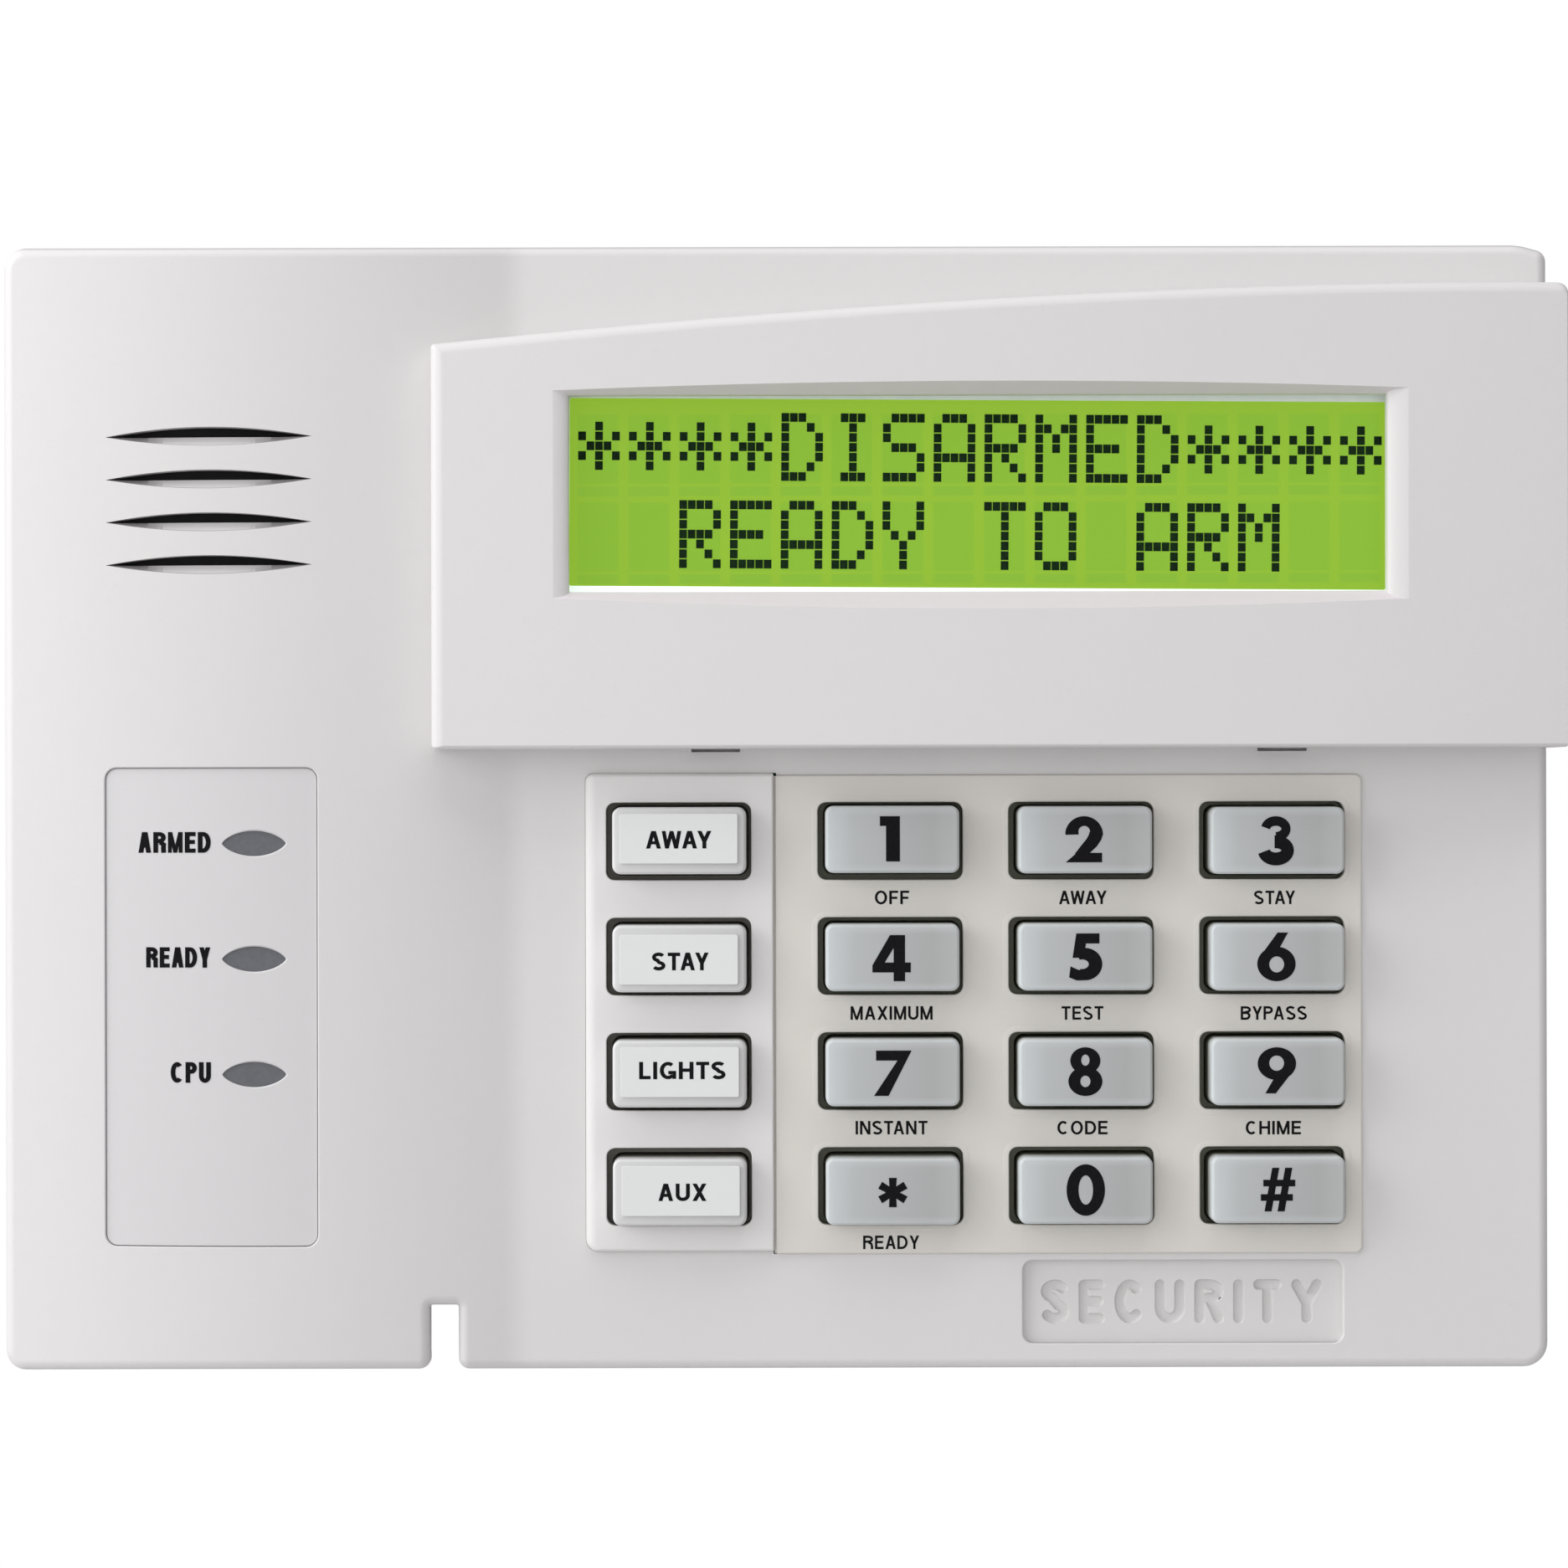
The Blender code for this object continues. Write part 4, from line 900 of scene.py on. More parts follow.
def make_strip():
    x0, x1, z0, z1 = STRIP
    corners = [(x0, z0, 1.5), (x1, z0, 0.3), (x1, z1, 0.3), (x0, z1, 1.0)]
    scale = [0.5, 0.3, 0.5, 1.4]
    levels = [(ring_points(corners, 8), 20.3)]
    for inset, d in rounding(0.95, STRIP_D, 7):
        levels.append((ring_points(corners, 8, inset, scale), d))
    ob = new_object("function_strip", loft(levels))
    rim = new_object("t_rim", loft([
        (ring_points(rect(x0 - 1.5, x1 - 0.55, z0 - 1.5, z1 + 1.5, 1.0), 5), 20.5),
        (ring_points(rect(x0 - 1.5, x1 - 0.55, z0 - 1.5, z1 + 1.5, 1.0), 5), 21.5)]))
    boolean(ob, [rim], 'UNION')
    boolean(ob, hole_cutters([(FX, z, CAP_DX[0], CAP_DZ[i][0])
                              for i, z in enumerate(KEY_Z)], STRIP_D))
    return finish_piece(ob, STRIP_MAT,
                        replaces=["function_key_strip"])


def key_mesh(name, radius, edge):
    """Cap with soft edges on a wider flange, and a switch foot under it."""
    cap = crect(0, 0, 15.86, 7.92, radius)
    levels = [(ring_points(crect(0, 0, 17.9, 9.9, 1.0), 6), 17.6),
              (ring_points(crect(0, 0, 18.0, 10.0, 1.0), 6), 17.8),
              (ring_points(crect(0, 0, 18.0, 10.0, 1.0), 6), 19.0),
              (ring_points(crect(0, 0, 17.8, 9.8, 1.0), 6), 19.2),
              (ring_points(cap, 6, -0.14), 19.25), (ring_points(cap, 6, -0.01), 26.6)]
    for inset, d in rounding(edge, KEY_TOP, 6):
        levels.append((ring_points(cap, 6, inset), d))
    levels.append((ring_points(cap, 6, edge + 1.2), KEY_TOP + 0.035))
    bm = loft(levels)
    ob = new_object(name, bm)
    foot = new_object("t_foot", loft([
        (ring_points(crect(0, 0, 6.6, 3.6, 0.6), 4), 15.2),
        (ring_points(crect(0, 0, 7.0, 4.0, 0.8), 4), 15.5),
        (ring_points(crect(0, 0, 7.0, 4.0, 0.8), 4), 18.4)]))
    boolean(ob, [foot], 'UNION')
    ob.data.transform(Matrix.Translation((0, KEY_TOP * MM, 0)))
    smooth(ob, 40.0)
    me = ob.data
    bpy.data.objects.remove(ob, do_unlink=True)
    return me


def place(name, mesh, x, z, body, replaces=(), d=KEY_TOP):
    ob = bpy.data.objects.new(name, mesh)
    bpy.context.scene.collection.objects.link(ob)
    ob.location = (x * MM, -d * MM, z * MM)
    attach(ob, body)
    if replaces:
        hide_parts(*replaces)
    return ob


# ------------------------------------------------------------------ lettering
def arc(cx, cy, rx, ry, a0, a1, n=14):
    return [(cx + rx * math.cos(math.radians(a0 + (a1 - a0) * k / n)),
             cy + ry * math.sin(math.radians(a0 + (a1 - a0) * k / n)))
            for k in range(n + 1)]


def stroke(points, width):
    """Outline of a line of even width through points, with square ends."""
    widths = width if isinstance(width, (list, tuple)) else [width] * len(points)
    left, right = [], []
    for i, (x, y) in enumerate(points):
        a = Vector(points[max(i - 1, 0)])
        b = Vector(points[min(i + 1, len(points) - 1)])
        t = (b - a).normalized()
        n = Vector((-t.y, t.x))
        k = 1.0
        if 0 < i < len(points) - 1:
            t1 = (Vector((x, y)) - a).normalized()
            k = 1.0 / max(0.5, abs(n.dot(Vector((-t1.y, t1.x)))))
        h = widths[i] / 2 * k
        left.append((x + n.x * h, y + n.y * h))
        right.append((x - n.x * h, y - n.y * h))
    return [left + right[::-1]]


def slant(x0, y0, x1, y1, w):
    """Bar between two heights whose ends are cut level."""
    a = w / 2 * math.hypot(x1 - x0, y1 - y0) / abs(y1 - y0)
    return [[(x0 - a, y0), (x0 + a, y0), (x1 + a, y1), (x1 - a, y1)]]


def ring(cx, cy, rx, ry, hx, hy, n=40, hcx=None, hcy=None):
    hcx, hcy = cx if hcx is None else hcx, cy if hcy is None else hcy
    return [arc(cx, cy, rx, ry, 0, 360 - 360 / n, n - 1),
            arc(hcx, hcy, hx, hy, 0, 360 - 360 / n, n - 1)]


def bar(x0, x1, y0, y1):
    return [[(x0, y0), (x1, y0), (x1, y1), (x0, y1)]]


def glyph(ch, t, wide=1.0):
    """(advance, shapes) of a plain sans capital of height 1 and stroke t."""
    h = t / 2
    S = []
    w = {"I": t, "M": 0.84, "W": 0.98, "O": 0.80, "C": 0.76, "G": 0.80, "D": 0.74,
         "E": 0.62, "F": 0.58, "L": 0.56, "T": 0.64, "A": 0.74, "H": 0.72, "N": 0.73,
         "U": 0.71, "R": 0.72, "P": 0.67, "B": 0.70, "S": 0.68, "Y": 0.70,
         "X": 0.70}[ch] * (wide if ch != "I" else 1.0)
    if ch == "I":
        S = [bar(0, t, 0, 1)]
    elif ch == "A":
        S = [slant(h * 1.05, 0, w / 2 - h * 0.15, 1, t), slant(w - h * 1.05, 0, w / 2 + h * 0.15, 1, t),
             bar(w * 0.22, w * 0.78, 0.24, 0.24 + t * 0.92)]
    elif ch == "B":
        S = [bar(0, t, 0, 1), stroke([(h, 1 - h), (w * 0.55, 1 - h)] + arc(w * 0.55, 0.745, w * 0.38, 0.255 - h, 90, -90)[1:] + [(h, 0.49)], t),
             stroke([(h, 0.51), (w * 0.55, 0.51)] + arc(w * 0.55, 0.255 + h / 2, w * 0.45 - h, 0.255 - h / 2, 90, -90)[1:] + [(h, h)], t)]
    elif ch == "C":
        S = [stroke(arc(w / 2, 0.5, w / 2 - h, 0.5 - h, 48, 312, 26), t)]
    elif ch == "D":
        S = [bar(0, t, 0, 1), stroke([(h, 1 - h), (w * 0.42, 1 - h)] + arc(w * 0.42, 0.5, w * 0.58 - h, 0.5 - h, 90, -90, 20)[1:] + [(h, h)], t)]
    elif ch == "E":
        S = [bar(0, t, 0, 1), bar(h, w, 1 - t, 1), bar(h, w * 0.93, 0.5 - h + 0.02, 0.5 + h + 0.02), bar(h, w, 0, t)]
    elif ch == "F":
        S = [bar(0, t, 0, 1), bar(h, w, 1 - t, 1), bar(h, w * 0.9, 0.47 - h, 0.47 + h)]
    elif ch == "G":
        S = [stroke(arc(w / 2, 0.5, w / 2 - h, 0.5 - h, 50, 318, 26), t),
             bar(w * 0.52, w, 0.48 - t, 0.48), bar(w - t * 0.95, w, 0.02, 0.46)]
    elif ch == "H":
        S = [bar(0, t, 0, 1), bar(w - t, w, 0, 1), bar(h, w - h, 0.52 - h, 0.52 + h)]
    elif ch == "L":
        S = [bar(0, t, 0, 1), bar(h, w, 0, t)]
    elif ch == "M":
        k = t * (0.96 if t < 0.17 else 0.80)
        S = [bar(0, k, 0, 1), bar(w - k, w, 0, 1),
             slant(w / 2, 0, k * 0.62, 1, k * 0.94), slant(w / 2, 0, w - k * 0.62, 1, k * 0.94)]
    elif ch == "N":
        S = [bar(0, t, 0, 1), bar(w - t, w, 0, 1), slant(w - h * 1.2, 0, h * 1.2, 1, t * 1.0)]
    elif ch == "O":
        S = [ring(w / 2, 0.5, w / 2, 0.515, w / 2 - t, 0.515 - t)]
    elif ch == "P":
        S = [bar(0, t, 0, 1), stroke([(h, 1 - h), (w * 0.5, 1 - h)] + arc(w * 0.5, 0.72, w * 0.5 - h, 0.28 - h, 90, -90)[1:] + [(h, 0.44 + h)], t)]
    elif ch == "R":
        S = [bar(0, t, 0, 1), stroke([(h, 1 - h), (w * 0.5, 1 - h)] + arc(w * 0.5, 0.735, w * 0.5 - h, 0.265 - h, 90, -90)[1:] + [(h, 0.47 + h)], t),
             stroke([(w * 0.55, 0.50), (w * 0.82, 0.40), (w - h, 0.22), (w - h * 0.9, 0.0)], t)]
    elif ch == "S":
        S = [stroke(arc(w / 2, 0.74, w / 2 - h, 0.26 - h * 0.9, 28, 250, 16)
                    + arc(w / 2, 0.262, w / 2 - h * 0.9, 0.262 - h * 0.9, 80, -152, 18), t)]
    elif ch == "T":
        S = [bar(0, w, 1 - t, 1), bar(w / 2 - h, w / 2 + h, 0, 1 - h)]
    elif ch == "U":
        S = [stroke([(h, 1), (h, 0.34)] + arc(w / 2, 0.34, w / 2 - h, 0.34 - h, 180, 360)[1:] + [(w - h, 1)], t)]
    elif ch == "W":
        S = [slant(w * 0.27, 0, h * 1.05, 1, t * 0.95), slant(w * 0.27, 0, w / 2, 1, t * 0.95),
             slant(w * 0.73, 0, w / 2, 1, t * 0.95), slant(w * 0.73, 0, w - h * 1.05, 1, t * 0.95)]
    elif ch == "X":
        S = [slant(h * 1.1, 0, w - h * 1.1, 1, t), slant(w - h * 1.1, 0, h * 1.1, 1, t)]
    elif ch == "Y":
        S = [slant(w / 2, 0.40, h * 1.1, 1, t), slant(w / 2, 0.40, w - h * 1.1, 1, t),
             bar(w / 2 - h, w / 2 + h, 0, 0.46)]
    return w, S


def digit(ch):
    """(width, shapes) of a heavy geometric figure of height 1."""
    if ch == "1":
        return 0.41, [[[(0, 0.785), (0.125, 0.785), (0.125, 0), (0.41, 0), (0.41, 1),
                        (0, 1)]]]
    if ch == "2":
        pts = [(0.135, 0.60)] + arc(0.395, 0.635, 0.262, 0.26, 176, 0, 18) + \
            [(0.63, 0.545), (0.56, 0.43), (0.44, 0.30), (0.27, 0.12)]
        wid = [0.285] + [0.285 - 0.075 * math.sin(math.pi * k / 18) for k in range(19)] \
            + [0.285, 0.27, 0.25, 0.20]
        return 0.79, [stroke(pts, wid), [[(0, 0), (0.78, 0), (0.78, 0.205), (0.235, 0.205)]]]
    if ch == "3":
        up = arc(0.385, 0.735, 0.225, 0.165, 172, -88, 20)
        lo = arc(0.385, 0.285, 0.262, 0.18, 96, -172, 22)
        return 0.79, [stroke(up, [0.27 - 0.07 * abs(math.cos(math.radians(172 - 260 * k / 20 + 0))) ** 0.0
                                  for k in range(21)]),
                      stroke(lo, 0.27),
                      [[(0.37, 0.44), (0.56, 0.40), (0.56, 0.62), (0.37, 0.60)]]]
    if ch == "4":
        return 0.84, [[[(0, 0.19), (0.465, 0.19), (0.465, 0), (0.715, 0), (0.715, 0.19),
                        (0.84, 0.19), (0.84, 0.405), (0.715, 0.405), (0.715, 1),
                        (0.385, 1), (0, 0.345)],
                       [(0.465, 0.405), (0.27, 0.405), (0.465, 0.72)]]]
    if ch == "5":
        bowl = [(0.16, 0.52)] + arc(0.325, 0.335, 0.255, 0.225, 112, -118, 22)
        bowl = arc(0.31, 0.345, 0.26, 0.222, 118, -112, 24)
        return 0.72, [stroke(bowl, [0.22 + 0.07 * math.sin(math.pi * k / 24) for k in range(25)]),
                      [[(0.155, 1), (0.655, 1), (0.655, 0.785), (0.365, 0.785),
                        (0.335, 0.60), (0.335, 0.48), (0.075, 0.48)]],
                      [[(0.03, 0.30), (0.0, 0.065), (0.16, 0.0), (0.30, 0.0),
                        (0.30, 0.215), (0.19, 0.225)]]]
    if ch == "6":
        return 0.83, [ring(0.41, 0.355, 0.415, 0.355, 0.16, 0.165, hcx=0.415, hcy=0.345),
                      [[(0.02, 0.46), (0.435, 1.0), (0.66, 1.0), (0.44, 0.62),
                        (0.30, 0.50)]]]
    if ch == "7":
        return 0.84, [[[(0, 0), (0.325, 0), (0.84, 1), (0.045, 1), (0.045, 0.78),
                        (0.525, 0.78)]]]
    if ch == "8":
        return 0.76, [ring(0.38, 0.725, 0.335, 0.275, 0.092, 0.115, hcy=0.735),
                      ring(0.38, 0.298, 0.378, 0.30, 0.112, 0.118, hcy=0.298)]
    if ch == "9":
        w, s = digit("6")
        return w, [[[(w - x, 1 - y) for x, y in loop] for loop in g] for g in s]
    if ch == "0":
        return 0.80, [ring(0.40, 0.5, 0.40, 0.52, 0.15, 0.295, 48)]
    if ch == "*":
        out = []
        for a in (90, 30, 150):
            c, s = math.cos(math.radians(a)), math.sin(math.radians(a))
            out.append([[(0.31 + c * u - s * v, 0.31 + s * u + c * v)
                         for u, v in ((-0.31, -0.082), (0, -0.068), (0.31, -0.082),
                                      (0.31, 0.082), (0, 0.068), (-0.31, 0.082))]])
        return 0.62, out
    if ch == "#":
        out = [[[(0.08, 0), (0.235, 0), (0.405, 1), (0.25, 1)]],
               [[(0.365, 0), (0.52, 0), (0.69, 1), (0.535, 1)]],
               bar(0.055, 0.755, 0.575, 0.725), bar(0.0, 0.70, 0.245, 0.395)]
        return 0.75, out
    raise ValueError(ch)


def add_shape(bm, loops, to_mm, d0, d1):
    """One printed or raised shape: a thin prism over loops (even-odd filled)."""
    flat_pts, rows = [], []
    for loop in loops:
        pts = [to_mm(p) for p in loop]
        rows.append((len(flat_pts), len(pts)))
        flat_pts += pts
    tris = tessellate_polygon([[Vector((x, z, 0)) for x, z in
                                flat_pts[s:s + n]] for s, n in rows])
    front = [bm.verts.new((x * MM, -d1 * MM, z * MM)) for x, z in flat_pts]
    back = [bm.verts.new((x * MM, -d0 * MM, z * MM)) for x, z in flat_pts]
    for t in tris:
        try:
            bm.faces.new([front[i] for i in t])
            bm.faces.new([back[i] for i in reversed(t)])
        except ValueError:
            pass
    for s, n in rows:
        for i in range(n):
            a, b = s + i, s + (i + 1) % n
            bm.faces.new((back[a], back[b], front[b], front[a]))


def capsule(a, b, r, seg=7):
    """Round-ended bar from a to b, as a closed outline."""
    turn = math.atan2(b[1] - a[1], b[0] - a[0])
    out = []
    for (cx, cy), start in ((a, turn + math.pi / 2), (b, turn - math.pi / 2)):
        out += [(cx + r * math.cos(start + math.pi * k / seg),
                 cy + r * math.sin(start + math.pi * k / seg)) for k in range(seg + 1)]
    return out


def groove_paths(ch, h):
    """(width, centre lines) of a capital of height 1, strokes reaching h each side."""
    w = {"S": 0.66, "E": 0.60, "C": 0.72, "U": 0.70, "R": 0.68, "I": 2 * h,
         "T": 0.66, "Y": 0.72}[ch]
    lo, hi, r = h, 1 - h, w - h
    lines = {
        "S": [arc(w / 2, 0.745, w / 2 - h, 0.255 - h, 30, 250, 9)
              + arc(w / 2, 0.265, w / 2 - h, 0.265 - h, 70, -150, 10)],
        "E": [[(h, lo), (h, hi)], [(h, hi), (r, hi)], [(h, 0.51), (r - 0.04, 0.51)],
              [(h, lo), (r, lo)]],
        "C": [arc(w / 2, 0.5, w / 2 - h, 0.5 - h, 50, 310, 16)],
        "U": [[(h, hi), (h, 0.36)] + arc(w / 2, 0.36, w / 2 - h, 0.36 - h, 190, 350, 9)
              + [(r, 0.36), (r, hi)]],
        "R": [[(h, lo), (h, hi)],
              [(h, hi), (w * 0.5, hi)] + arc(w * 0.5, 0.735, r - w * 0.5, 0.265 - h, 70, -70, 6)
              + [(w * 0.5, 0.47 + h), (h, 0.47 + h)],
              [(w * 0.52, 0.47 + h), (r, lo)]],
        "I": [[(h, lo), (h, hi)]],
        "T": [[(h, hi), (r, hi)], [(w / 2, lo), (w / 2, hi)]],
        "Y": [[(h, hi), (w / 2, 0.46)], [(r, hi), (w / 2, 0.46)], [(w / 2, lo), (w / 2, 0.46)]]}
    return w, lines[ch]


def text_shapes(text, t, gap=0.14, wide=1.0):
    """(width, [(x offset, shapes)]) for a line of capitals of height 1."""
    x, out = 0.0, []
    tight = {"AW": -0.10, "WA": -0.10, "AY": -0.12, "TA": -0.11, "AT": -0.10, "YP": -0.04,
             "PA": -0.08, "LI": 0.0, "AD": -0.02, "TS": -0.02}
    for i, ch in enumerate(text):
        if ch == " ":
            x += 0.4
            continue
        if i:
            x += gap + tight.get(text[i - 1] + ch, 0.0)
        w, shapes = glyph(ch, t, wide)
        out.append((x, shapes))
        x += w
    return x, out


def write_text(bm, text, cx, z0, height, t, d, thick=0.03, width=None, gap=0.14,
               wide=1.0, align="centre"):
    """Adds one word whose capitals stand on z0; width fits it, in mm."""
    total, parts = text_shapes(text, t, gap, wide)
    sx = (width / total) if width else height
    left = {"centre": cx - total * sx / 2, "right": cx - total * sx, "left": cx}[align]
    step = 0
    for off, shapes in parts:
        for loops in shapes:
            lift = 0.002 * (step % 4)
            step += 1
            add_shape(bm, loops, lambda p: (left + (off + p[0]) * sx, z0 + p[1] * height),
                      d, d + thick + lift)


def write_digit(bm, ch, cx, cz, height, width, d):
    w, shapes = digit(ch)
    hh = 0.62 if ch == "*" else 1.0
    for k, loops in enumerate(shapes):
        add_shape(bm, loops, lambda p: (cx + (p[0] / w - 0.5) * width,
                                        cz + (p[1] / hh - 0.5) * height),
                  d, d + 0.03 + 0.003 * k)


def printed(name, bm, mat=INK, body=HOUSING, bend=None, base=0.0,
            origin=None):
    if bend:
        for v in bm.verts:
            v.co.y -= (bend(v.co.x / MM) - base) * MM
    bmesh.ops.recalc_face_normals(bm, faces=bm.faces)
    me = bpy.data.meshes.new(name)
    bm.to_mesh(me)
    bm.free()
    ob = bpy.data.objects.new(name, me)
    bpy.context.scene.collection.objects.link(ob)
    if origin:
        ob.location = (origin[0] * MM, -origin[1] * MM, origin[2] * MM)
    me.materials.append(mat)
    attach(ob, body)
    return ob


# ------------------------------------------------------------------ keys
# where each print and cap sits in the front view: left, top, right, bottom
FIGURES = {
    "1": (1051, 975, 1075, 1029), "2": (1273, 975, 1317, 1030),
    "3": (1503, 975, 1546, 1032), "4": (1042, 1117, 1088, 1172),
    "5": (1277, 1115, 1317, 1171), "6": (1502, 1114, 1548, 1172),
    "7": (1044, 1255, 1089, 1309), "8": (1276, 1251, 1317, 1309),
    "9": (1502, 1251, 1548, 1306), "*": (1049, 1407, 1084, 1442),
    "0": (1274, 1392, 1320, 1451), "#": (1506, 1395, 1547, 1447)}
LABELS = ((740.5, 972.0, 880.5, 1031.7), (740.5, 1116.8, 881.5, 1176.2),
          (741.5, 1251.0, 883.0, 1310.8), (742.5, 1393.0, 884.0, 1452.7))
WORDS = (("AWAY", 771.6, 992.7, 849.8, 1013.5), ("STAY", 778.8, 1138.0, 846.5, 1159.0),
         ("LIGHTS", 763.4, 1268.5, 866.4, 1289.0), ("AUX", 786.4, 1414.0, 843.8, 1434.6))


def box_at(left, top, right, bottom, d):
    x0, z1 = at(left, top, d)
    x1, z0 = at(right, bottom, d)
    return (x0 + x1) / 2, (z0 + z1) / 2, x1 - x0, z1 - z0


def make_keys():
    names = [["key_1", "key_2", "key_3"], ["key_4", "key_5", "key_6"],
             ["key_7", "key_8", "key_9"], ["key_star", "key_0", "key_hash"]]
    marks = ["123", "456", "789", "*0#"]
    me = key_mesh("digit_key", 0.95, 0.40)
    me.materials.append(KEY_GREY)
    for row, chars, z, dzs in zip(names, marks, KEY_Z, CAP_DZ):
        for i, (name, ch, x) in enumerate(zip(row, chars, KEY_X)):
            kx, kz = x + CAP_DX[i + 1], z + dzs[i + 1]
            place(name + "_cap", me, kx, kz, name, [name])
            cx, cz, w, h = box_at(*FIGURES[ch], KEY_TOP + 0.06)
            bm = bmesh.new()
            write_digit(bm, ch, cx - kx, cz - kz, h, w, 0.0)
            for v in bm.verts:
                v.co.y -= 0.034 * MM
            printed(name + "_figure", bm, INK, name, origin=(kx, KEY_TOP, kz))
    me = key_mesh("function_key", 1.0, 0.40)
    me.materials.append(KEY_CLEAR)
    lm = label_mesh()
    for i, z in enumerate(KEY_Z):
        body = f"function_key_{i + 1}"
        kx, kz = FX + CAP_DX[0], z + CAP_DZ[i][0]
        place(body + "_cap", me, kx, kz, body, [body])
        lx, lz, w, h = box_at(*LABELS[i], KEY_TOP + 0.28)
        place(body + "_label", lm, lx, lz, body,
              [f"function_label_{i + 1}"], KEY_TOP + 0.03)
        word, *rect_px = WORDS[i]
        cx, cz, w, h = box_at(*rect_px, KEY_TOP + 0.3)
        bm = bmesh.new()
        write_text(bm, word, cx - lx, cz - h / 2 - lz, h, 0.195, 0.0, 0.02, w, 0.13)
        printed(body + "_word", bm, INK, body, origin=(lx, KEY_TOP + 0.28, lz))


def label_mesh():
    corners = crect(0, 0, 14.0, 5.92, 0.22)
    levels = [(ring_points(corners, 4), 0.0), (ring_points(corners, 4), 0.18)]
    for inset, d in rounding(0.06, 0.25, 3):
        levels.append((ring_points(corners, 4, inset), d))
    ob = new_object("label", loft(levels))
    smooth(ob, 40.0)
    me = ob.data
    me.materials.append(LABEL_MAT)
    bpy.data.objects.remove(ob, do_unlink=True)
    return me


# ------------------------------------------------------------------ legends
LEGENDS = (("OFF", 1045, 1064, 1086, 1080), ("AWAY", 1265, 1064, 1322, 1080),
           ("STAY", 1498, 1064, 1547, 1080), ("MAXIMUM", 1016, 1202, 1114, 1218),
           ("TEST", 1268, 1202, 1318, 1218), ("BYPASS", 1482, 1202, 1561, 1218),
           ("INSTANT", 1022, 1339, 1108, 1355), ("CODE", 1263, 1339, 1323, 1355),
           ("CHIME", 1488, 1339, 1554, 1355), ("READY", 1031, 1476, 1098, 1492))
STATES = (("ARMED", 164.5, 994.0, 252.2, 1018.5), ("READY", 174.0, 1131.6, 251.8, 1155.7),
          ("CPU", 203.6, 1268.8, 252.2, 1293.3))


def make_legends():
    bm = bmesh.new()
    for word, *px in LEGENDS:
        cx, cz, w, h = box_at(*px, SURROUND_D)
        write_text(bm, word, cx, cz - h / 2, h, 0.168, SURROUND_D - 0.01, 0.03, w, 0.14)
    printed("surround_legends", bm)
    bm = bmesh.new()
    for word, *px in STATES:
        cx, cz, w, h = box_at(*px, pod((px[0] + px[2] - 1873) / 20 + 1) - 0.28)
        write_text(bm, word, cx, cz - h / 2, h, 0.20, 0.0, 0.02, w, 0.09, 0.72)
    printed("status_legends", bm, bend=lambda x: pod(x) - 0.28, base=0.0)


def make_status():
    x0, x1, z0, z1 = STATUS
    g = 0.12
    corners = rect(x0 + g, x1 - g, z0 + g, z1 - g, 1.3)
    ob = new_object("status_panel", loft([(ring_points(corners, 8), 24.0 - 0.56),
                                          (ring_points(corners, 8), 24.0 - 0.30)],
                                         pod, FACE_D, -1e9, POD_STATIONS))
    top = pod(LED_X) - 0.30
    tools = [new_object(f"t_oval{i}", loft([
        (lens_points(LED_X, z, 3.78, 1.5, 32), 20.0),
        (lens_points(LED_X, z, 3.78, 1.5, 32), top - 0.16),
        (lens_points(LED_X, z, 4.0, 1.69, 32), top + 0.03),
        (lens_points(LED_X, z, 4.0, 1.69, 32), 32.0)])) for i, z in enumerate(LED_Z)]
    boolean(ob, tools)
    film = lambda x: pod(x) - 0.30
    finish_piece(ob, FILM, surfaces=[(film, 0.03)],
                 replaces=["status_label"])
    mat = smoked()
    for name, z in zip(("armed", "ready", "cpu"), LED_Z):
        top = pod(LED_X) - 0.58
        lv = [(lens_points(LED_X, z, 3.0, 1.15, 20), 18.5),
              (lens_points(LED_X, z, 3.0, 1.15, 20), top - 0.9),
              (lens_points(LED_X, z, 3.88, 1.58, 20), top - 0.7),
              (lens_points(LED_X, z, 3.88, 1.58, 20), top)]
        pipe = new_object(f"light_pipe_{name}_lens", loft(lv))
        finish_piece(pipe, mat, replaces=[f"light_pipe_{name}"])


# ------------------------------------------------------------------ name plate
def make_badge():
    """Recessed plate with a sunk generic word."""
    x0, x1, z0, z1 = BADGE
    corners = rect(x0 - 0.1, x1 + 0.1, z0 - 0.1, z1 + 0.1, 1.15)
    ob = new_object("name_plate", loft([(ring_points(corners, 8), FACE_D - 1.65),
                                        (ring_points(corners, 8), FACE_D - 0.90)]))
    # generic word, cut with a round-edged tool along each stroke
    word, width, height, half = "SECURITY", 33.4, 5.05, 0.52
    h, gap = half / height, 0.30
    letters = [groove_paths(ch, h) for ch in word]
    total = sum(w for w, _ in letters) + gap * (len(word) - 1)
    sx = width / (total * height)
    x = (x0 + x1) / 2 - width / 2 - 0.1
    tools = []
    for w, lines in letters:
        for line in lines:
            pts = [(x + px * height * sx, -61.75 + py * height) for px, py in line]
            for a, b in zip(pts, pts[1:]):
                k = len(tools)
                low = FACE_D - 1.50 + 0.003 * (k % 4)
                wide = half + 0.002 * (k % 3)
                tools.append(new_object(f"t_stroke{k}", loft([
                    (capsule(a, b, wide - 0.09), low), (capsule(a, b, wide - 0.02), low + 0.05),
                    (capsule(a, b, wide + 0.06), low + 0.45),
                    (capsule(a, b, wide + 0.15), low + 0.6015),
                    (capsule(a, b, wide + 0.30), low + 0.70),
                    (capsule(a, b, wide + 0.30), FACE_D + 0.5)])))
        x += (w + gap) * height * sx
    boolean(ob, tools)
    return finish_piece(ob, CASE, angle=30.0)


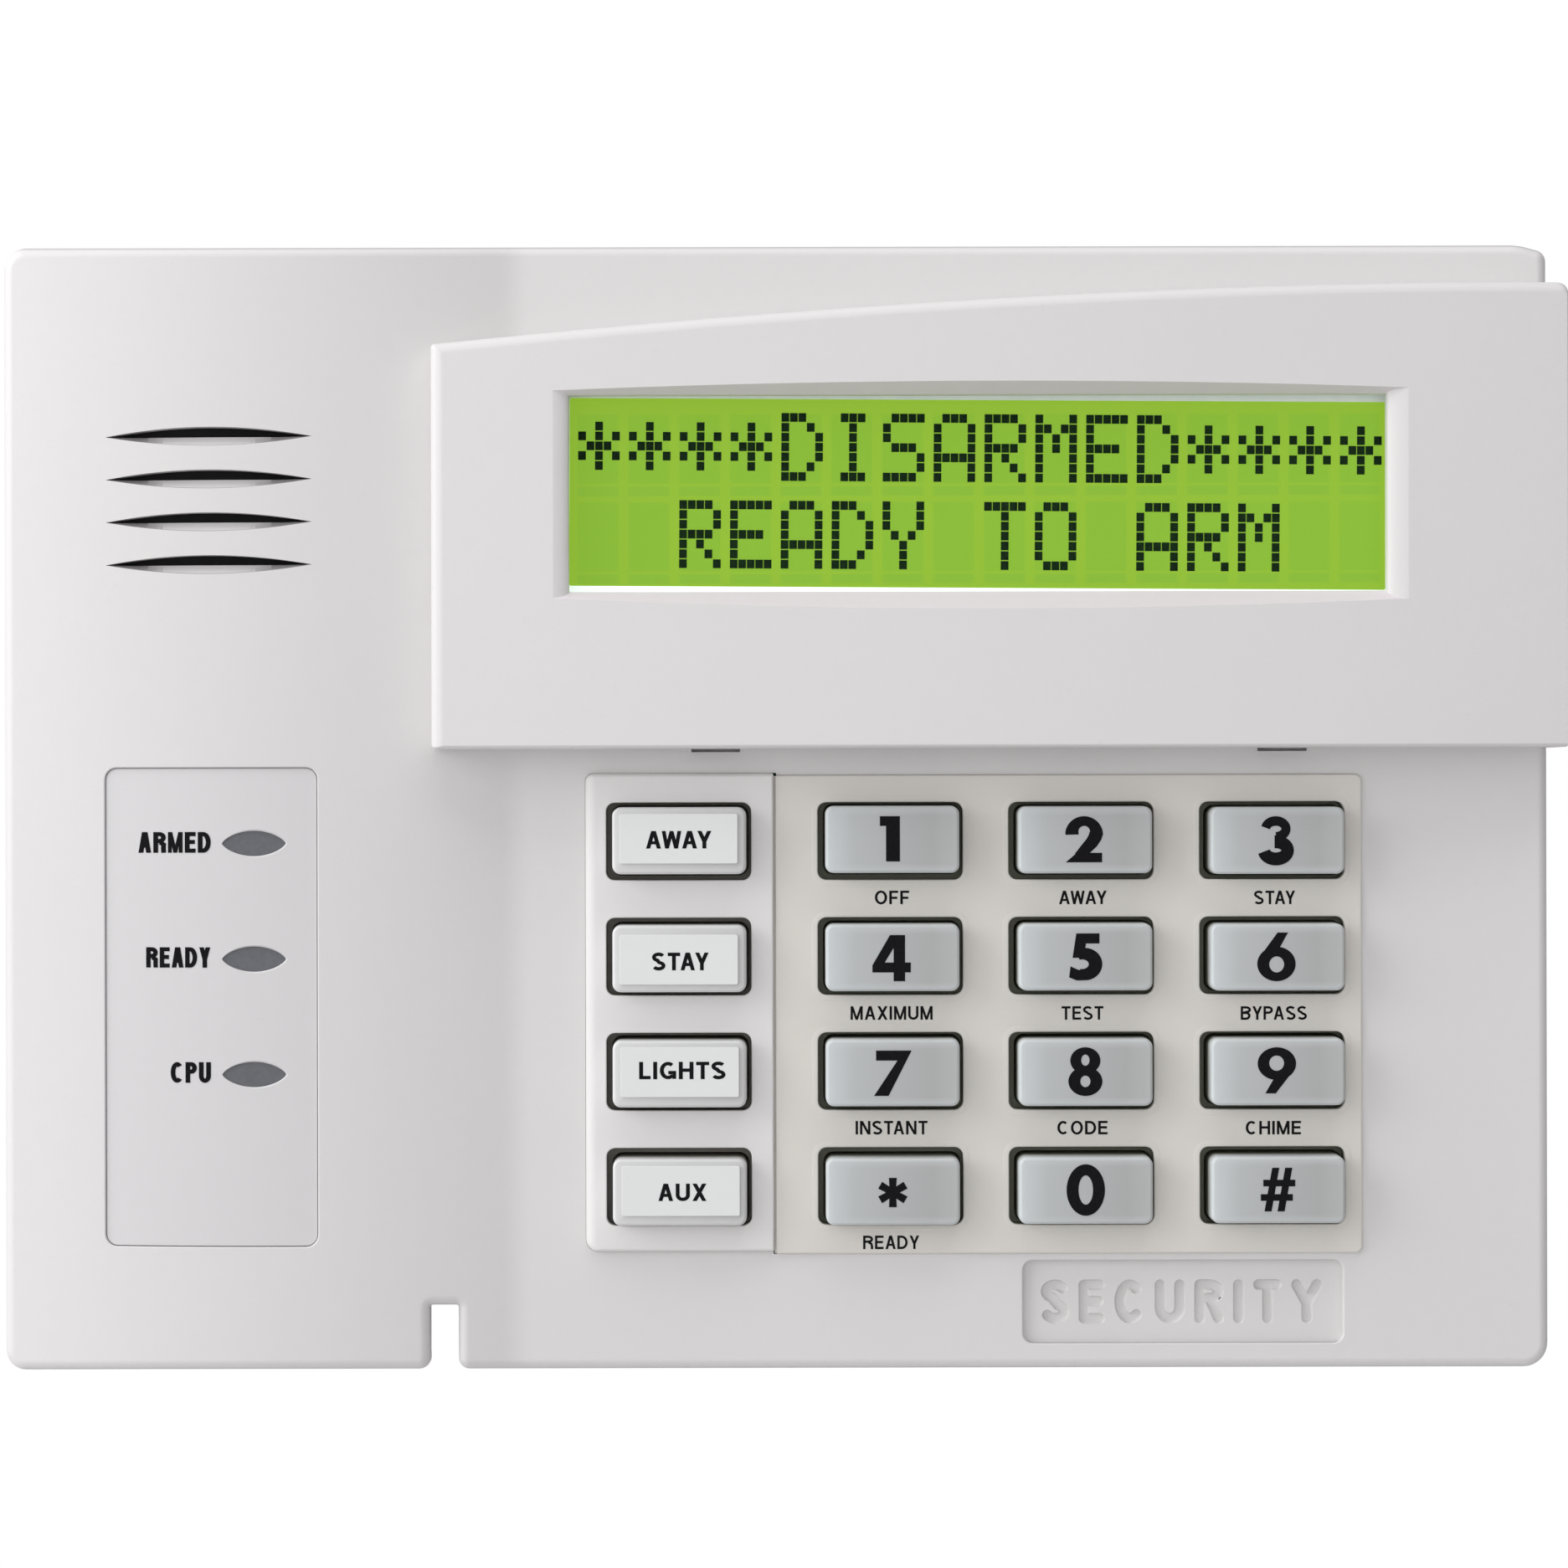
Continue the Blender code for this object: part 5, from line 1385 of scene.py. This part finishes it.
# ------------------------------------------------------------------ display
DOTS = {
    "D": "XXX..,X..X.,X...X,X...X,X...X,X..X.,XXX..",
    "I": ".XXX.,..X..,..X..,..X..,..X..,..X..,.XXX.",
    "S": ".XXXX,X....,X....,.XXX.,....X,....X,XXXX.",
    "A": ".XXX.,X...X,X...X,X...X,XXXXX,X...X,X...X",
    "R": "XXXX.,X...X,X...X,XXXX.,X.X..,X..X.,X...X",
    "M": "X...X,XX.XX,X.X.X,X.X.X,X...X,X...X,X...X",
    "E": "XXXXX,X....,X....,XXXX.,X....,X....,XXXXX",
    "Y": "X...X,X...X,X...X,.X.X.,..X..,..X..,..X..",
    "T": "XXXXX,..X..,..X..,..X..,..X..,..X..,..X..",
    "O": ".XXX.,X...X,X...X,X...X,X...X,X...X,.XXX.",
    "*": ".....,..X..,X.X.X,.XXX.,X.X.X,..X..,....."}
LINES = ("****DISARMED****", "  READY TO ARM  ")
LCD_D = 27.0
LCD_TILT = math.radians(0.29) + ROLL


def lcd_x(px, d=LCD_D):
    s = (500 - (d - 24)) / 500
    return (px - 936.5) * 0.1 * s + 1.05


def lcd_z(py, d=LCD_D):
    s = (500 - (d - 24)) / 500
    return (936.5 - py) * 0.1 * s + 2.8


def tilt(ob, more=0.0):
    """The display module sits a fraction of a degree askew in its frame."""
    c = Vector((24.0 * MM, 0, 37.0 * MM))
    m = Matrix.Translation(c) @ Matrix.Rotation(LCD_TILT + more, 4, 'Y') @ Matrix.Translation(-c)
    ob.data.transform(m)


def make_display():
    pitch = 60.67 * 0.09940
    x_first = lcd_x(691.0)
    dot_w, dot_h, dot_p = 0.925, 1.05, 1.005
    dz_p = 1.169
    tops = (lcd_z(495.2), lcd_z(600.0))
    # field with the green area; its own white border shows inside the rim
    gx0, gx1, gz0, gz1 = lcd_x(681), lcd_x(1656.5), lcd_z(702.5), lcd_z(478.5)
    field = new_object("display_field", loft([
        (ring_points(rect(gx0, gx1, gz0, gz1, 0.25), 3), 24.9),
        (ring_points(rect(gx0, gx1, gz0, gz1, 0.25), 3), LCD_D)]))
    tilt(field)
    finish_piece(field, lcd_green(x_first - 0.04, pitch, 4.84, tops, dz_p),
                 replaces=["lcd_glass"])
    bm = bmesh.new()
    for line, top in zip(LINES, tops):
        for col, ch in enumerate(line):
            if ch == " ":
                continue
            for r, bits in enumerate(DOTS[ch].split(",")):
                for c, bit in enumerate(bits):
                    if bit != "X":
                        continue
                    x = x_first + col * pitch + c * dot_p
                    z = top - r * dz_p
                    add_shape(bm, [[(x, z - dot_h), (x + dot_w, z - dot_h), (x + dot_w, z),
                                    (x, z)]], lambda p: p, LCD_D - 0.02, LCD_D + 0.03)
    ob = printed("display_dots", bm, dots_material())
    tilt(ob, math.radians(0.06))
    border = rect(-27.9, 75.8, 22.1, 51.9, 0.6)
    frame_ob = new_object("display_border", loft([(ring_points(border, 3), 25.2),
                                                  (ring_points(border, 3), LCD_D + 0.10)]))
    hole = new_object("t_hole", loft([
        (ring_points(rect(gx0 - 0.03, gx1 + 0.03, gz0 - 0.03, gz1 + 0.03, 0.25), 3), 20.0),
        (ring_points(rect(gx0 - 0.03, gx1 + 0.03, gz0 - 0.03, gz1 + 0.03, 0.25), 3), 30.0)]))
    tilt(hole)
    boolean(frame_ob, [hole])
    n = Nodes("border_film_painted_glow")
    m = n.noise(n.coords(), 500.0, 3.0)
    # painted light: the white border glows, brighter along its bottom, standing in for light from above falling on
    # it
    n.shader.inputs["Emission Color"].default_value = (0.82, 0.95, 0.88, 1)
    rise = n.node("ShaderNodeSeparateXYZ", Vector=n.coords()).outputs["Z"]
    n.tree.links.new(n.range(rise, 0.030, 0.045, 0.62, 0.12),
                     n.shader.inputs["Emission Strength"])
    finish_piece(frame_ob, n.set(
        Base__Color=n.ramp(m, [(0.3, (0.78, 0.84, 0.80)), (0.7, (0.84, 0.89, 0.85))]),
        Roughness=0.3))
    # clear acrylic cover with a polished, slightly rounded edge
    cover = rect(-28.4, 76.3, 21.6, 52.4, 0.9)
    levels = [(ring_points(cover, 5, 0.1), 27.4), (ring_points(cover, 5), 27.5),
              (ring_points(cover, 5), 28.5), (ring_points(cover, 5, 0.1), 28.6)]
    finish_piece(new_object("display_cover", loft(levels)), clear_window(),
                 replaces=["lcd_window"])


def dots_material():
    n = Nodes("display_segments")
    v = n.coords()
    m = n.noise(v, 900.0, 3.0, 0.6)
    col = n.ramp(m, [(0.3, (0.0008, 0.011, 0.001)), (0.7, (0.002, 0.022, 0.002))])
    return n.set(Base__Color=col, Roughness=0.6, Normal=n.bump(m, 0.1, 0.00002),
                 Specular__IOR__Level=0.0)


# ------------------------------------------------------------------ build it all
make_case()
make_hood()
make_surround()
make_strip()
make_back()
make_keys()
make_legends()
make_status()
make_badge()
make_display()

LOOKS = {
    "key_mat": MAT_GREY, "main_board": BOARD, "lcd_board": BOARD,
    "lcd_frame": TIN, "lcd_backlight": light_guide(), "lcd_header": BLACK,
    "speaker_basket": STEEL, "speaker_cone": PAPER, "speaker_magnet": FERRITE,
    "speaker_felt": FELT_M, "terminal_block": GREEN_BLOCK, "processor_chip": BLACK}
resin = led_resin()
for i in (1, 2, 3, 4):
    LOOKS[f"terminal_screw_{i}"] = ZINC
    LOOKS[f"board_screw_{i}"] = STEEL
for i in (1, 2, 3):
    LOOKS[f"status_led_{i}"] = resin
for node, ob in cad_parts.items():
    if node in LOOKS and not ob.hide_render:
        if not ob.data.materials:
            ob.data.materials.append(LOOKS[node])
        for s in ob.material_slots:
            s.material = LOOKS[node]


# ------------------------------------------------------------------ stage, light, camera
def make_stage():
    bm = bmesh.new()
    bmesh.ops.create_grid(bm, x_segments=2, y_segments=2, size=0.9)
    floor = new_object("studio_floor", bm)
    floor.location = (0.0, -0.55, -0.27)
    n = Nodes("studio_floor_paint")
    m = n.noise(n.coords(), 3.0, 2.0)
    floor.data.materials.append(n.set(
        Base__Color=n.ramp(m, [(0.3, (0.68, 0.68, 0.68)), (0.7, (0.71, 0.71, 0.71))]),
        Roughness=0.8))

    world = bpy.data.worlds.new("studio")
    bpy.context.scene.world = world
    world.use_nodes = True
    t = world.node_tree
    t.nodes.clear()
    out = t.nodes.new("ShaderNodeOutputWorld")
    mix = t.nodes.new("ShaderNodeMixShader")
    lp = t.nodes.new("ShaderNodeLightPath")
    fill = t.nodes.new("ShaderNodeBackground")
    seen = t.nodes.new("ShaderNodeBackground")
    fill.inputs["Color"].default_value = (1.0, 0.992, 0.994, 1)
    seen.inputs["Color"].default_value = (1, 1, 1, 1)
    seen.inputs["Strength"].default_value = 1.0
    tc = t.nodes.new("ShaderNodeTexCoord")
    total = None
    for direction, power, strength in LOBES:
        dot = t.nodes.new("ShaderNodeVectorMath")
        dot.operation = 'DOT_PRODUCT'
        dot.inputs[1].default_value = Vector(direction).normalized()
        t.links.new(tc.outputs["Generated"], dot.inputs[0])
        last = dot.outputs["Value"]
        for op, value in (('MAXIMUM', 0.0), ('POWER', power), ('MULTIPLY', strength)):
            m = t.nodes.new("ShaderNodeMath")
            m.operation = op
            m.inputs[1].default_value = value
            t.links.new(last, m.inputs[0])
            last = m.outputs[0]
        if total is not None:
            m = t.nodes.new("ShaderNodeMath")
            m.operation = 'ADD'
            t.links.new(total, m.inputs[0])
            t.links.new(last, m.inputs[1])
            last = m.outputs[0]
        total = last
    m = t.nodes.new("ShaderNodeMath")
    m.operation = 'ADD'
    m.inputs[1].default_value = FILL
    t.links.new(total, m.inputs[0])
    t.links.new(m.outputs[0], fill.inputs["Strength"])
    t.links.new(lp.outputs["Is Camera Ray"], mix.inputs["Fac"])
    t.links.new(fill.outputs[0], mix.inputs[1])
    t.links.new(seen.outputs[0], mix.inputs[2])
    t.links.new(mix.outputs[0], out.inputs["Surface"])


def area(name, place_at, aim, size, power, colour=(1, 1, 1)):
    light = bpy.data.lights.new(name, 'AREA')
    light.shape = 'RECTANGLE'
    light.size, light.size_y = size
    light.energy = power
    light.color = colour
    ob = bpy.data.objects.new(name, light)
    bpy.context.scene.collection.objects.link(ob)
    ob.location = place_at
    ob.rotation_euler = (Vector(aim) - Vector(place_at)).to_track_quat('-Z', 'Y').to_euler()
    return ob


FILL = 0.165
LOBES = [((-1.0, -0.35, 0.0), 2.0, 0.74), ((-1.0, 0.0, 0.0), 6.0, 0.35),
         ((0.0, -1.0, 0.0), 3.0, 0.83),
         ((0.0, 1.0, 0.6), 2.0, 0.60)]
SOFTBOXES = [("key_softbox", (-1.15, -0.42, 0.50), (0.9, 0.9), 8.3),
             ("top_softbox", (-0.05, -0.42, 1.05), (1.2, 0.5), 4.7)]
make_stage()
for name, where, size, power in SOFTBOXES:
    area(name, where, (0.0, -0.02, 0.0), size, power)

cam = bpy.data.cameras.new("camera")
cam.sensor_width = 36.0
cam.lens = 36.0 * 500.0 / 187.3
cam.clip_start, cam.clip_end = 0.01, 20.0
cam_ob = bpy.data.objects.new("camera", cam)
bpy.context.scene.collection.objects.link(cam_ob)
cam_ob.matrix_world = Matrix.Translation((1.05 * MM, -524.0 * MM, 2.8 * MM)) @ \
    Matrix.Rotation(ROLL, 4, 'Y') @ Matrix.Rotation(math.pi / 2, 4, 'X')
bpy.context.scene.camera = cam_ob

scene = bpy.context.scene
scene.view_settings.view_transform = 'Standard'
scene.view_settings.look = 'None'
